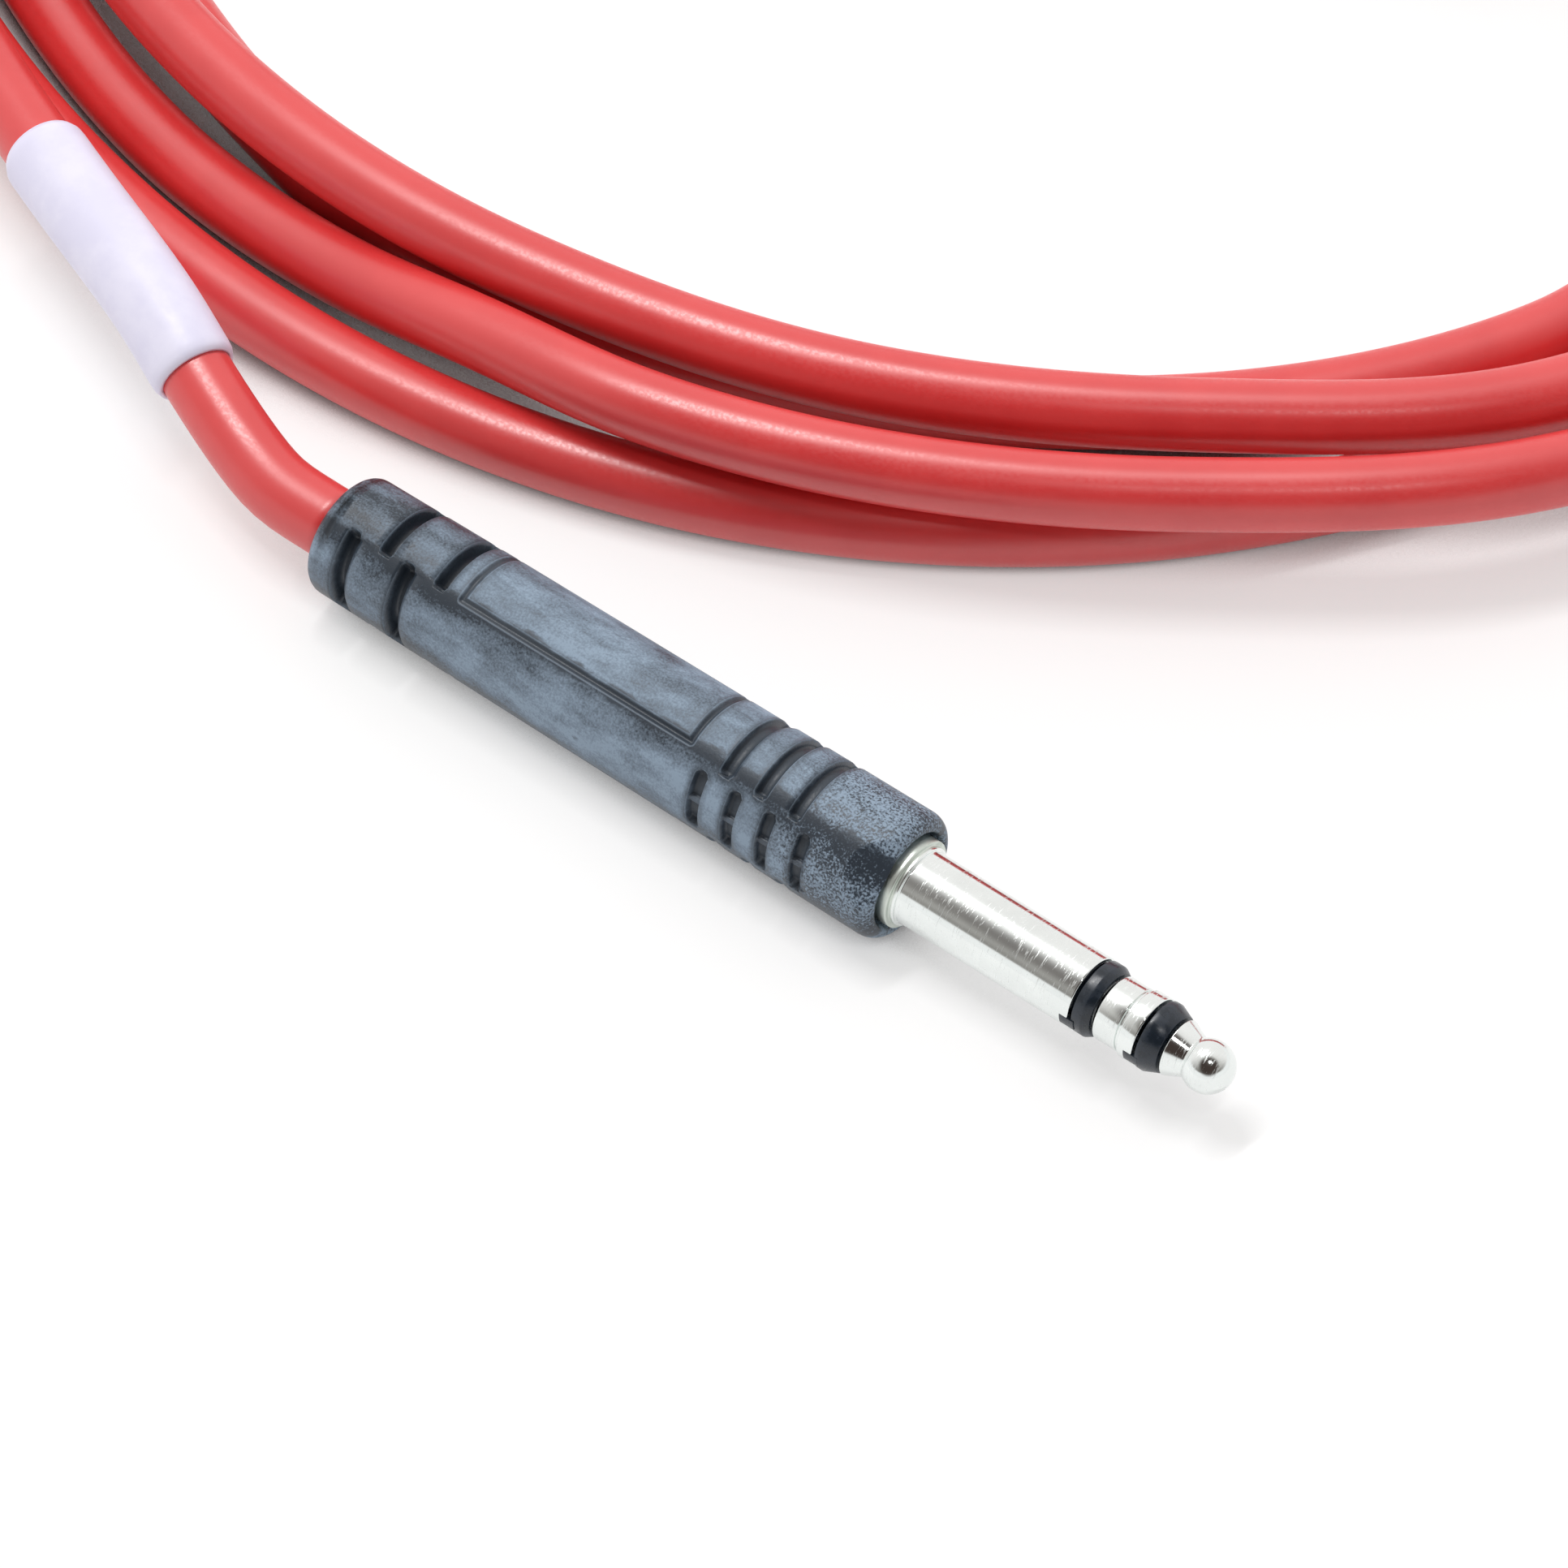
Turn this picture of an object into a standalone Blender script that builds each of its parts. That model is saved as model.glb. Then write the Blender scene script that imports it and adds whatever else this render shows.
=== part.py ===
"""A moulded quarter-inch long-frame instrument cable: two three-pole plugs on one coiled lead.

Lengths below are in millimetres and MM turns them into Blender's metres. A plug's own axis is
its local +X, with the shoulder that seats against a socket at x = 0 and the tip at the front.
"""
import math

import bmesh
import bpy
import numpy as np
from mathutils import Euler, Matrix, Vector

MM = 0.001

# ---- clearances ------------------------------------------------------------------------------
SEAT_GAP = 0.25          # radial gap between pieces that seat on each other
FACE_GAP = 0.3           # axial gap between faces that meet

# ---- contact finger --------------------------------------------------------------------------
SLEEVE_RADIUS = 3.175    # quarter-inch sleeve
SLEEVE_LENGTH = 17.2     # shoulder to the front of the sleeve
COLLAR_RADIUS = 3.85
COLLAR_LENGTH = 4.0
COLLAR_STEP_RADIUS = 3.45
COLLAR_STEP_LENGTH = 0.4
COLLAR_CHAMFER = 0.15
BARREL_RADIUS = 3.4      # rear barrel of the sleeve, inside the moulding
BARREL_LENGTH = 10.0
BARREL_WALL = 0.4
ROD_RADIUS = 0.85        # tip rod
TUBE_WALL = 0.3          # wall of the ring tube and of both insulating tubes
SLEEVE_BAND_LENGTH = 1.5  # black band between sleeve and ring
SLEEVE_BAND_LIP = 0.9     # the wider part of that band
SLEEVE_BAND_RADIUS = 3.12
RING_RADIUS = 2.75
RING_LENGTH = 3.9
RING_FLANGE_RADIUS = 2.95
RING_FLANGE_LENGTH = 1.45
RING_GROOVE_DEPTH = 0.2
RING_GROOVE_WIDTH = 0.35
TIP_BAND_LENGTH = 1.7    # black band between ring and tip
TIP_BAND_RIM = 0.5
TIP_CONE_RADIUS = 2.45   # base of the tip's cone
TIP_CONE_LENGTH = 1.3
NECK_RADIUS = 1.75
BALL_RADIUS = 2.2
BALL_SETBACK = 1.6       # neck to the centre of the ball
RING_TUBE_TAIL = 4.5     # how far the ring tube reaches behind the shoulder
RING_SLEEVE_TAIL = 3.0   # the same for the ring's insulating tube
TIP_TUBE_TAIL = 6.5      # the same for the tip's insulating tube
ROD_TAIL = 9.5           # the same for the tip rod

# ---- handle moulding -------------------------------------------------------------------------
HANDLE_LENGTH = 58.0
HANDLE_SETBACK = 0.3     # front face of the moulding behind the shoulder
HANDLE_FRONT_RADIUS = 5.55
HANDLE_MIDDLE_RADIUS = 5.45
HANDLE_REAR_RADIUS = 5.2
HANDLE_MIDDLE_AT = 44.0
FRONT_ROUNDING = 1.4
REAR_ROUNDING = 1.1
SLOT_WIDTH = 1.1
SLOT_DEPTH = 0.8
SLOT_PITCH = 3.4
SIDE_SLOT_COUNT = 4
SIDE_SLOT_FIRST = 7.8    # shoulder to the first slot of a side sector
SIDE_SLOT_HALF_ANGLE = 29.5
SIDE_SLOT_WEB_ANGLE = 2.5
FACE_SLOT_COUNT = 3
FACE_SLOT_FIRST = 9.4    # shoulder to the first slot of a face sector
FACE_SLOT_HALF_ANGLE = 55.5
RELIEF_WIDTH = 1.2       # strain-relief slits at the cable end
RELIEF_WALL = 0.45       # rubber left between a slit and the cable
RELIEF_PITCH = 5.6
RELIEF_FACE_FIRST = 45.7
RELIEF_SIDE_FIRST = 48.9
RELIEF_COUNT = 2
RELIEF_HALF_ANGLE = 48.0
WINDOW_FRONT = 20.2      # label window, outlined by a fine groove
WINDOW_REAR = 43.4
WINDOW_HALF_ANGLE = 45.0
WINDOW_GROOVE_WIDTH = 0.7
WINDOW_GROOVE_DEPTH = 0.3
NOSE_FLAT_ANGLE = 61.0   # sloped flats on the nose, from the middle of a face sector
NOSE_FLAT_LENGTH = 3.6
NOSE_FLAT_FRONT_RADIUS = 4.25

# ---- cable -----------------------------------------------------------------------------------
CABLE_DIAMETER = 6.0
FERRULE_FRONT = 19.6
FERRULE_LENGTH = 7.1
FERRULE_WALL = 0.45
CORE_RADIUS = 0.6
RING_CORE_RADIUS = 0.4
DRAIN_RADIUS = 0.35
MARKER_WALL = 0.4

# ---- where the two plugs and the coil lie ----------------------------------------------------
PLUG_ROLL = -15.1        # the shown plug lies turned by this about its own axis, degrees
COIL_CENTRE = (-64.0, 122.0)   # centre of the base oval's near side
COIL_SIDE_RADIUS = 100.0 # the oval has two long sides of this radius
COIL_END_RADIUS = 46.0   # and two ends of this one
COIL_NEAR_ANGLE = -76.0  # direction in which the near side faces, degrees
COIL_SIDE_HALF_ANGLE = 49.0
COIL_BACK_FLAT = 12.0    # the loops are drawn in by this at the side away from the plug
COIL_SPACING = 12.0
LAYER = CABLE_DIAMETER + 0.5
FLOOR_LIFT = 0.05
FAR_PLUG_SHOULDER = (-40.0, 111.0)
FAR_PLUG_HEADING = 6.0
FAR_PLUG_ROLL = 20.0

CABLE_RADIUS = CABLE_DIAMETER / 2
LOW = CABLE_RADIUS + FLOOR_LIFT
HIGH = LOW + LAYER
PIN_STEPS = 24
HANDLE_STEPS = 36

# Axial stations of the finger, each one tied to the piece behind it.
SLEEVE_BAND_REAR = SLEEVE_LENGTH + FACE_GAP
SLEEVE_BAND_FRONT = SLEEVE_BAND_REAR + SLEEVE_BAND_LENGTH
RING_REAR = SLEEVE_BAND_FRONT + FACE_GAP
RING_FRONT = RING_REAR + RING_LENGTH
TIP_BAND_REAR = RING_FRONT + FACE_GAP
TIP_BAND_FRONT = TIP_BAND_REAR + TIP_BAND_LENGTH
TIP_REAR = TIP_BAND_FRONT + FACE_GAP
NECK_AT = TIP_REAR + TIP_CONE_LENGTH
BALL_AT = NECK_AT + BALL_SETBACK
TIP_FRONT = BALL_AT + BALL_RADIUS

# Radial build-up of the finger, from the rod outwards.
TIP_TUBE_BORE = ROD_RADIUS + SEAT_GAP
TIP_TUBE_RADIUS = TIP_TUBE_BORE + TUBE_WALL
RING_TUBE_BORE = TIP_TUBE_RADIUS + SEAT_GAP
RING_TUBE_RADIUS = RING_TUBE_BORE + TUBE_WALL
RING_SLEEVE_BORE = RING_TUBE_RADIUS + SEAT_GAP
RING_SLEEVE_RADIUS = RING_SLEEVE_BORE + TUBE_WALL
SLEEVE_BORE = RING_SLEEVE_RADIUS + SEAT_GAP

BARREL_REAR = COLLAR_LENGTH + BARREL_LENGTH
BARREL_BORE = BARREL_RADIUS - BARREL_WALL
FERRULE_BORE = CABLE_RADIUS + SEAT_GAP
FERRULE_RADIUS = FERRULE_BORE + FERRULE_WALL
FERRULE_REAR = FERRULE_FRONT + FERRULE_LENGTH
CORE_START = FERRULE_FRONT - 2 * FACE_GAP - FACE_GAP
PLUG_CENTRE = (TIP_FRONT - HANDLE_LENGTH) / 2
AXIS_HEIGHT = HANDLE_FRONT_RADIUS


def clear_scene():
    """Remove every object, and the collections and materials that they used."""
    for obj in list(bpy.data.objects):
        bpy.data.objects.remove(obj, do_unlink=True)
    for collection in list(bpy.data.collections):
        bpy.data.collections.remove(collection)


def new_collection(name):
    collection = bpy.data.collections.new(name)
    bpy.context.scene.collection.children.link(collection)
    return collection


def new_material(name, colour, roughness, metallic=0.0):
    """A Principled material of one colour."""
    material = bpy.data.materials.new(name)
    material.use_nodes = True
    shader = material.node_tree.nodes["Principled BSDF"]
    shader.inputs["Base Color"].default_value = (*colour, 1.0)
    shader.inputs["Roughness"].default_value = roughness
    shader.inputs["Metallic"].default_value = metallic
    return material


def place(obj, collection, parent=None, material=None):
    """Link an object, hang it on its plug's empty and give it its material."""
    collection.objects.link(obj)
    obj.parent = parent
    if material:
        obj.data.materials.append(material)
    return obj


def turned(name, profile, steps):
    """A solid turned about local X from (x, radius) points.

    The points run from the front to the back along the outside, then, on a hollow piece, from
    the back to the front along the bore. A profile that ends on the axis is left open.
    """
    on_axis = profile[0][1] == 0.0
    mesh = bpy.data.meshes.new(name)
    points = [(radius * MM, 0.0, x * MM) for x, radius in profile]
    edges = [(i, i + 1) for i in range(len(points) - 1)]
    if not on_axis:
        edges.append((len(points) - 1, 0))
    mesh.from_pydata(points, edges, [])
    obj = bpy.data.objects.new(name, mesh)
    obj.rotation_euler = Euler((0.0, math.pi / 2, 0.0))
    screw = obj.modifiers.new("turn", "SCREW")
    screw.axis = "Z"
    screw.steps = round(steps)
    screw.render_steps = round(steps)
    screw.use_merge_vertices = True
    screw.merge_threshold = 0.00001
    screw.use_smooth_shade = True
    return obj


def tube_curve(name, points, radius, resolution):
    """A round tube with closed ends through the given points."""
    curve = bpy.data.curves.new(name, "CURVE")
    curve.dimensions = "3D"
    curve.bevel_depth = radius * MM
    curve.bevel_resolution = resolution
    curve.use_fill_caps = True
    spline = curve.splines.new("POLY")
    spline.points.add(len(points) - 1)
    for point, position in zip(spline.points, points):
        point.co = (*(Vector(position) * MM), 1.0)
    return bpy.data.objects.new(name, curve)


def as_mesh(obj, collection):
    """Turn a tube into a closed mesh object in the same place."""
    collection.objects.link(obj)
    bpy.context.view_layer.update()
    evaluated = obj.evaluated_get(bpy.context.evaluated_depsgraph_get())
    mesh = bpy.data.meshes.new_from_object(evaluated)
    body = bmesh.new()
    body.from_mesh(mesh)
    bmesh.ops.remove_doubles(body, verts=body.verts, dist=0.000001)
    bmesh.ops.recalc_face_normals(body, faces=body.faces)
    body.to_mesh(mesh)
    body.free()
    solid = bpy.data.objects.new(obj.name, mesh)
    solid.matrix_world = obj.matrix_world.copy()
    name = obj.name
    bpy.data.objects.remove(obj, do_unlink=True)
    solid.name = name
    return solid


def cut(obj, cutter, label):
    """Subtract a cutter that stays in the cutters' collection."""
    modifier = obj.modifiers.new(label, "BOOLEAN")
    modifier.operation = "DIFFERENCE"
    modifier.solver = "EXACT"
    modifier.object = cutter
    cutter.hide_render = True
    cutter.display_type = "WIRE"


# ---- contact finger --------------------------------------------------------------------------
def tip_contact_profile():
    """Ball, neck and cone of the tip, and the rod that carries it through the plug."""
    reach = math.pi - math.asin(NECK_RADIUS / BALL_RADIUS)
    ball_points = 9
    profile = [(TIP_FRONT, 0.0)]
    for i in range(1, ball_points):
        angle = reach * i / (ball_points - 1)
        profile.append((BALL_AT + BALL_RADIUS * math.cos(angle), BALL_RADIUS * math.sin(angle)))
    profile += [
        (NECK_AT, NECK_RADIUS),
        (TIP_REAR, TIP_CONE_RADIUS),
        (TIP_REAR, ROD_RADIUS),
        (-ROD_TAIL, ROD_RADIUS),
        (-ROD_TAIL, 0.0),
    ]
    return profile


def tip_insulator_profile():
    """The tapered black band behind the tip, with the tube that lines the ring."""
    return [
        (TIP_BAND_FRONT, TIP_CONE_RADIUS),
        (TIP_BAND_REAR + TIP_BAND_RIM, RING_FLANGE_RADIUS),
        (TIP_BAND_REAR, RING_FLANGE_RADIUS),
        (TIP_BAND_REAR, TIP_TUBE_RADIUS),
        (-TIP_TUBE_TAIL, TIP_TUBE_RADIUS),
        (-TIP_TUBE_TAIL, TIP_TUBE_BORE),
        (TIP_BAND_FRONT, TIP_TUBE_BORE),
    ]


def ring_contact_profile():
    """The ring with its flange and relief groove, and the tube that leads back from it."""
    flange_rear = RING_FRONT - RING_FLANGE_LENGTH
    groove_rear = flange_rear - RING_GROOVE_WIDTH
    groove_radius = RING_RADIUS - RING_GROOVE_DEPTH
    return [
        (RING_FRONT, RING_FLANGE_RADIUS - COLLAR_CHAMFER),
        (RING_FRONT - COLLAR_CHAMFER, RING_FLANGE_RADIUS),
        (flange_rear, RING_FLANGE_RADIUS),
        (flange_rear, groove_radius),
        (groove_rear, groove_radius),
        (groove_rear, RING_RADIUS),
        (RING_REAR, RING_RADIUS),
        (RING_REAR, RING_TUBE_RADIUS),
        (-RING_TUBE_TAIL, RING_TUBE_RADIUS),
        (-RING_TUBE_TAIL, RING_TUBE_BORE),
        (RING_FRONT, RING_TUBE_BORE),
    ]


def ring_insulator_profile():
    """The stepped black band behind the ring, with the tube that lines the sleeve."""
    lip_front = SLEEVE_BAND_REAR + SLEEVE_BAND_LIP
    return [
        (SLEEVE_BAND_FRONT, RING_RADIUS),
        (lip_front, RING_RADIUS),
        (lip_front, SLEEVE_BAND_RADIUS),
        (SLEEVE_BAND_REAR, SLEEVE_BAND_RADIUS),
        (SLEEVE_BAND_REAR, RING_SLEEVE_RADIUS),
        (-RING_SLEEVE_TAIL, RING_SLEEVE_RADIUS),
        (-RING_SLEEVE_TAIL, RING_SLEEVE_BORE),
        (SLEEVE_BAND_FRONT, RING_SLEEVE_BORE),
    ]


def sleeve_shell_profile():
    """Sleeve, collar and the rear barrel that the moulding grips."""
    bore_step = RING_TUBE_TAIL + 2 * FACE_GAP
    return [
        (SLEEVE_LENGTH, SLEEVE_RADIUS - COLLAR_CHAMFER),
        (SLEEVE_LENGTH - COLLAR_CHAMFER, SLEEVE_RADIUS),
        (COLLAR_STEP_LENGTH, SLEEVE_RADIUS),
        (COLLAR_STEP_LENGTH, COLLAR_STEP_RADIUS),
        (0.0, COLLAR_STEP_RADIUS),
        (0.0, COLLAR_RADIUS - COLLAR_CHAMFER),
        (-COLLAR_CHAMFER, COLLAR_RADIUS),
        (-COLLAR_LENGTH, COLLAR_RADIUS),
        (-COLLAR_LENGTH, BARREL_RADIUS),
        (-BARREL_REAR, BARREL_RADIUS),
        (-BARREL_REAR, BARREL_BORE),
        (-bore_step, BARREL_BORE),
        (-bore_step, SLEEVE_BORE),
        (SLEEVE_LENGTH, SLEEVE_BORE),
    ]


def ferrule_profile():
    """The crimped ferrule that holds the cable's screen and jacket."""
    return [
        (-FERRULE_FRONT, FERRULE_RADIUS),
        (-FERRULE_REAR, FERRULE_RADIUS),
        (-FERRULE_REAR, FERRULE_BORE),
        (-FERRULE_FRONT, FERRULE_BORE),
    ]


def jacket_end_profile():
    """The length of cable inside the moulding."""
    front = -CORE_START - FACE_GAP
    rear = -HANDLE_LENGTH + FACE_GAP
    return [(front, 0.0), (front, CABLE_RADIUS), (rear, CABLE_RADIUS), (rear, 0.0)]


# ---- handle ----------------------------------------------------------------------------------
def handle_profile():
    """Outside of the moulding from nose to cable end, then its stepped bore."""
    nose = -HANDLE_SETBACK
    rear = -HANDLE_LENGTH
    collar_bore = COLLAR_RADIUS + SEAT_GAP
    barrel_bore = BARREL_RADIUS + SEAT_GAP
    ferrule_bore = FERRULE_RADIUS + SEAT_GAP
    cable_bore = CABLE_RADIUS + SEAT_GAP
    collar_step = -COLLAR_LENGTH - FACE_GAP
    ferrule_front = -FERRULE_FRONT + FACE_GAP
    ferrule_rear = -FERRULE_REAR - FACE_GAP
    profile = []
    for degrees in (0, 30, 60, 90):
        angle = math.radians(degrees)
        x = nose - FRONT_ROUNDING * (1 - math.cos(angle))
        radius = HANDLE_FRONT_RADIUS - FRONT_ROUNDING * (1 - math.sin(angle))
        profile.append((x, max(radius, collar_bore + 0.05)))
    profile.append((-WINDOW_FRONT, HANDLE_MIDDLE_RADIUS))
    profile.append((-HANDLE_MIDDLE_AT, (HANDLE_MIDDLE_RADIUS + HANDLE_REAR_RADIUS) / 2))
    for degrees in (0, 30, 60, 90):
        angle = math.radians(degrees)
        x = rear + REAR_ROUNDING * (1 - math.sin(angle))
        profile.append((x, HANDLE_REAR_RADIUS - REAR_ROUNDING * (1 - math.cos(angle))))
    profile += [
        (rear, cable_bore),
        (ferrule_rear, cable_bore),
        (ferrule_rear, ferrule_bore),
        (ferrule_front, ferrule_bore),
        (ferrule_front, barrel_bore),
        (collar_step, barrel_bore),
        (collar_step, collar_bore),
        (nose, collar_bore),
    ]
    return profile


def ring_sector(body, x, width, inner, outer, start, end, rounded=True):
    """Add to a bmesh a curved bar round the plug's axis, with rounded ends on request."""
    middle_radius = (inner + outer) / 2
    end_angle = math.degrees(width / 2 / middle_radius)
    if rounded:
        shares = [(0.0, 0.3), (0.3, 0.75), (1.0, 1.0)]
    else:
        shares = [(0.0, 1.0)]
    stations = [(start + end_angle * along, share) for along, share in shares]
    count = max(2, round((end - start) / 15.0))
    first = start + end_angle * shares[-1][0]
    last = end - end_angle * shares[-1][0]
    stations += [(first + (last - first) * i / count, 1.0) for i in range(1, count)]
    stations += [(end - end_angle * along, share) for along, share in reversed(shares)]
    rings = []
    for degrees, share in stations:
        angle = math.radians(degrees)
        direction = Vector((0.0, math.cos(angle), math.sin(angle)))
        half = Vector((width / 2 * share, 0.0, 0.0))
        centre = Vector((x, 0.0, 0.0))
        corners = [
            centre - half + direction * inner,
            centre + half + direction * inner,
            centre + half + direction * outer,
            centre - half + direction * outer,
        ]
        rings.append([body.verts.new(corner * MM) for corner in corners])
    for ring_a, ring_b in zip(rings, rings[1:]):
        for i in range(4):
            j = (i + 1) % 4
            body.faces.new((ring_a[i], ring_a[j], ring_b[j], ring_b[i]))
    body.faces.new(reversed(rings[0]))
    body.faces.new(rings[-1])


def cutter_object(name, body):
    bmesh.ops.recalc_face_normals(body, faces=body.faces)
    mesh = bpy.data.meshes.new(name)
    body.to_mesh(mesh)
    body.free()
    return bpy.data.objects.new(name, mesh)


def slot_cutter(name):
    """Every slot of the moulding: grip slots at the front and relief slits at the cable end."""
    body = bmesh.new()
    floor = HANDLE_FRONT_RADIUS - SLOT_DEPTH
    outside = HANDLE_FRONT_RADIUS + 1.0
    relief_floor = CABLE_RADIUS + SEAT_GAP + RELIEF_WALL
    for face in (90.0, 270.0):
        side = face + 90.0
        for i in range(FACE_SLOT_COUNT):
            x = -(FACE_SLOT_FIRST + i * SLOT_PITCH)
            ring_sector(body, x, SLOT_WIDTH, floor, outside,
                        face - FACE_SLOT_HALF_ANGLE, face + FACE_SLOT_HALF_ANGLE)
        for i in range(SIDE_SLOT_COUNT):
            x = -(SIDE_SLOT_FIRST + i * SLOT_PITCH)
            for start, end in ((-SIDE_SLOT_HALF_ANGLE, -SIDE_SLOT_WEB_ANGLE),
                               (SIDE_SLOT_WEB_ANGLE, SIDE_SLOT_HALF_ANGLE)):
                ring_sector(body, x, SLOT_WIDTH, floor, outside, side + start, side + end)
        for i in range(RELIEF_COUNT):
            for middle, first in ((face, RELIEF_FACE_FIRST), (side, RELIEF_SIDE_FIRST)):
                ring_sector(body, -(first + i * RELIEF_PITCH), RELIEF_WIDTH, relief_floor,
                            outside, middle - RELIEF_HALF_ANGLE, middle + RELIEF_HALF_ANGLE)
    return cutter_object(name, body)


def window_end_cutter(name):
    """The grooves that close the label windows at both ends."""
    body = bmesh.new()
    floor = HANDLE_MIDDLE_RADIUS - WINDOW_GROOVE_DEPTH
    for face in (90.0, 270.0):
        for x in (-WINDOW_FRONT, -WINDOW_REAR):
            ring_sector(body, x, WINDOW_GROOVE_WIDTH, floor, HANDLE_FRONT_RADIUS + 1.0,
                        face - WINDOW_HALF_ANGLE, face + WINDOW_HALF_ANGLE, rounded=False)
    return cutter_object(name, body)


def box_cutter(body, size, matrix):
    """Add a box of the given size to a bmesh."""
    scale = Matrix.Diagonal((*[length * MM for length in size], 1.0))
    bmesh.ops.create_cube(body, size=1.0, matrix=matrix @ scale)


def window_side_cutter(name):
    """The grooves along both sides of each label window."""
    body = bmesh.new()
    height = 2.0
    length = WINDOW_REAR - WINDOW_FRONT + WINDOW_GROOVE_WIDTH
    middle = (WINDOW_REAR + WINDOW_FRONT) / 2
    base = HANDLE_MIDDLE_RADIUS - WINDOW_GROOVE_DEPTH - 0.05
    for face in (90.0, 270.0):
        for side in (-WINDOW_HALF_ANGLE, WINDOW_HALF_ANGLE):
            turn = Matrix.Rotation(math.radians(face + side - 90.0), 4, "X")
            shift = Matrix.Translation(Vector((-middle, 0.0, base + height / 2)) * MM)
            box_cutter(body, (length, WINDOW_GROOVE_WIDTH, height), turn @ shift)
    return cutter_object(name, body)


def nose_flat_cutter(name):
    """Two sloped flats that thin the nose of the moulding and bare the side of the collar."""
    body = bmesh.new()
    size = 12.0
    rise = HANDLE_FRONT_RADIUS - NOSE_FLAT_FRONT_RADIUS
    slope = math.atan2(rise, NOSE_FLAT_LENGTH - HANDLE_SETBACK)
    for turn_angle in (NOSE_FLAT_ANGLE, NOSE_FLAT_ANGLE + 180.0):
        turn = Matrix.Rotation(math.radians(turn_angle), 4, "X")
        edge = Matrix.Translation(Vector((-NOSE_FLAT_LENGTH, 0.0, HANDLE_FRONT_RADIUS)) * MM)
        tilt = Matrix.Rotation(slope, 4, "Y")
        lift = Matrix.Translation(Vector((0.0, 0.0, size / 2)) * MM)
        box_cutter(body, (size * 2, size, size), turn @ edge @ tilt @ lift)
    return cutter_object(name, body)


# ---- route of the cable ----------------------------------------------------------------------
def smooth_curve(points, spacing):
    """Points a fixed distance apart on a smooth curve through the route's own points."""
    route = np.array(points, float)
    before = 2 * route[0] - route[1]
    after = 2 * route[-1] - route[-2]
    route = np.vstack([before, route, after])
    knots = np.concatenate([[0.0], np.cumsum(np.sqrt(np.linalg.norm(np.diff(route, axis=0),
                                                                     axis=1)))])
    fine = []
    for i in range(1, len(route) - 2):
        t0, t1, t2, t3 = knots[i - 1:i + 3]
        p0, p1, p2, p3 = route[i - 1:i + 3]
        for t in np.linspace(t1, t2, 24, endpoint=False):
            a1 = (t1 - t) / (t1 - t0) * p0 + (t - t0) / (t1 - t0) * p1
            a2 = (t2 - t) / (t2 - t1) * p1 + (t - t1) / (t2 - t1) * p2
            a3 = (t3 - t) / (t3 - t2) * p2 + (t - t2) / (t3 - t2) * p3
            b1 = (t2 - t) / (t2 - t0) * a1 + (t - t0) / (t2 - t0) * a2
            b2 = (t3 - t) / (t3 - t1) * a2 + (t - t1) / (t3 - t1) * a3
            fine.append((t2 - t) / (t2 - t1) * b1 + (t - t1) / (t2 - t1) * b2)
    fine.append(route[-2])
    fine = np.array(fine)
    along = np.concatenate([[0.0], np.cumsum(np.linalg.norm(np.diff(fine, axis=0), axis=1))])
    count = max(2, round(along[-1] / spacing))
    targets = np.linspace(0.0, along[-1], count + 1)
    return np.stack([np.interp(targets, along, fine[:, k]) for k in range(3)], axis=1)


# Each key of the coil: whole turns, distance past the middle of the near side, distance outside
# the base oval, and height of the centre line. The coil is walked clockwise, from the lead.
COIL_KEYS = [
    (0, 76.8, 8.6, HIGH),
    (0, 125.0, 12.2, HIGH),
    (0, 160.0, 13.0, HIGH),
    (0, 215.0, 13.6, LOW),
    (0, 330.0, 13.6, LOW),
    (1, -75.0, 13.0, HIGH),
    (1, -48.9, 8.8, HIGH),
    (1, -7.0, 4.9, HIGH),
    (1, 8.7, 1.8, 7.85),
    (1, 24.4, 0.1, 4.6),
    (1, 45.4, -0.2, LOW),
    (1, 71.6, 0.2, 4.0),
    (1, 103.0, 3.6, HIGH),
    (1, 160.0, 4.8, HIGH),
    (1, 210.0, 6.4, HIGH),
    (1, 255.0, 6.6, LOW),
    (1, 300.0, 6.6, LOW),
    (1, 355.0, 6.4, HIGH),
    (2, -78.5, 5.7, HIGH),
    (2, -50.6, 0.5, HIGH),
    (2, -20.9, -2.6, HIGH),
    (2, 8.7, -4.8, HIGH),
    (2, 94.2, -5.2, HIGH),
    (2, 225.0, -5.0, HIGH),
    (2, 285.0, -1.4, LOW),
    (2, 340.0, 0.4, LOW),
    (3, -106.0, 1.8, LOW),
    (3, -78.5, 3.9, LOW),
    (3, -57.6, 5.3, LOW),
    (3, -38.4, 6.4, LOW),
    (3, -7.0, 7.2, LOW),
    (3, 41.9, 6.9, LOW),
    (3, 120.0, 6.6, LOW),
    (3, 215.0, -7.8, LOW),
    (3, 340.0, -8.0, LOW),
    (4, -80.3, -5.2, LOW),
    (4, -27.9, -6.6, LOW),
    (4, 24.4, -7.8, LOW),
]

# The lead's own points, from the back of the shown plug to the coil.
LEAD_POINTS = [
    (-56.0, 1.4, 6.1),
    (-62.5, 3.6, 7.7),
    (-69.5, 6.4, 9.2),
    (-84.0, 11.8, HIGH),
    (-96.5, 16.9, HIGH),
    (-107.0, 22.1, HIGH),
]

# The tail's own points, from the coil to the back of the far plug, about the coil's centre.
TAIL_POINTS = [
    (-25.0, -87.3, LOW),
    (-51.8, -74.2, LOW),
    (-61.0, -65.0, LOW),
    (-65.0, -51.5, LOW),
    (-64.0, -39.0, LOW),
    (-53.5, -24.0, 3.5),
]
STRAIGHT_END = 7.0       # the lead and the tail run straight for this long at each end
LEAD_SPACING = 13.0
TAIL_SPACING = 13.0
MARKER_FIRST = 2         # lead points that carry the marker sleeve
MARKER_LAST = 4


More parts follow.
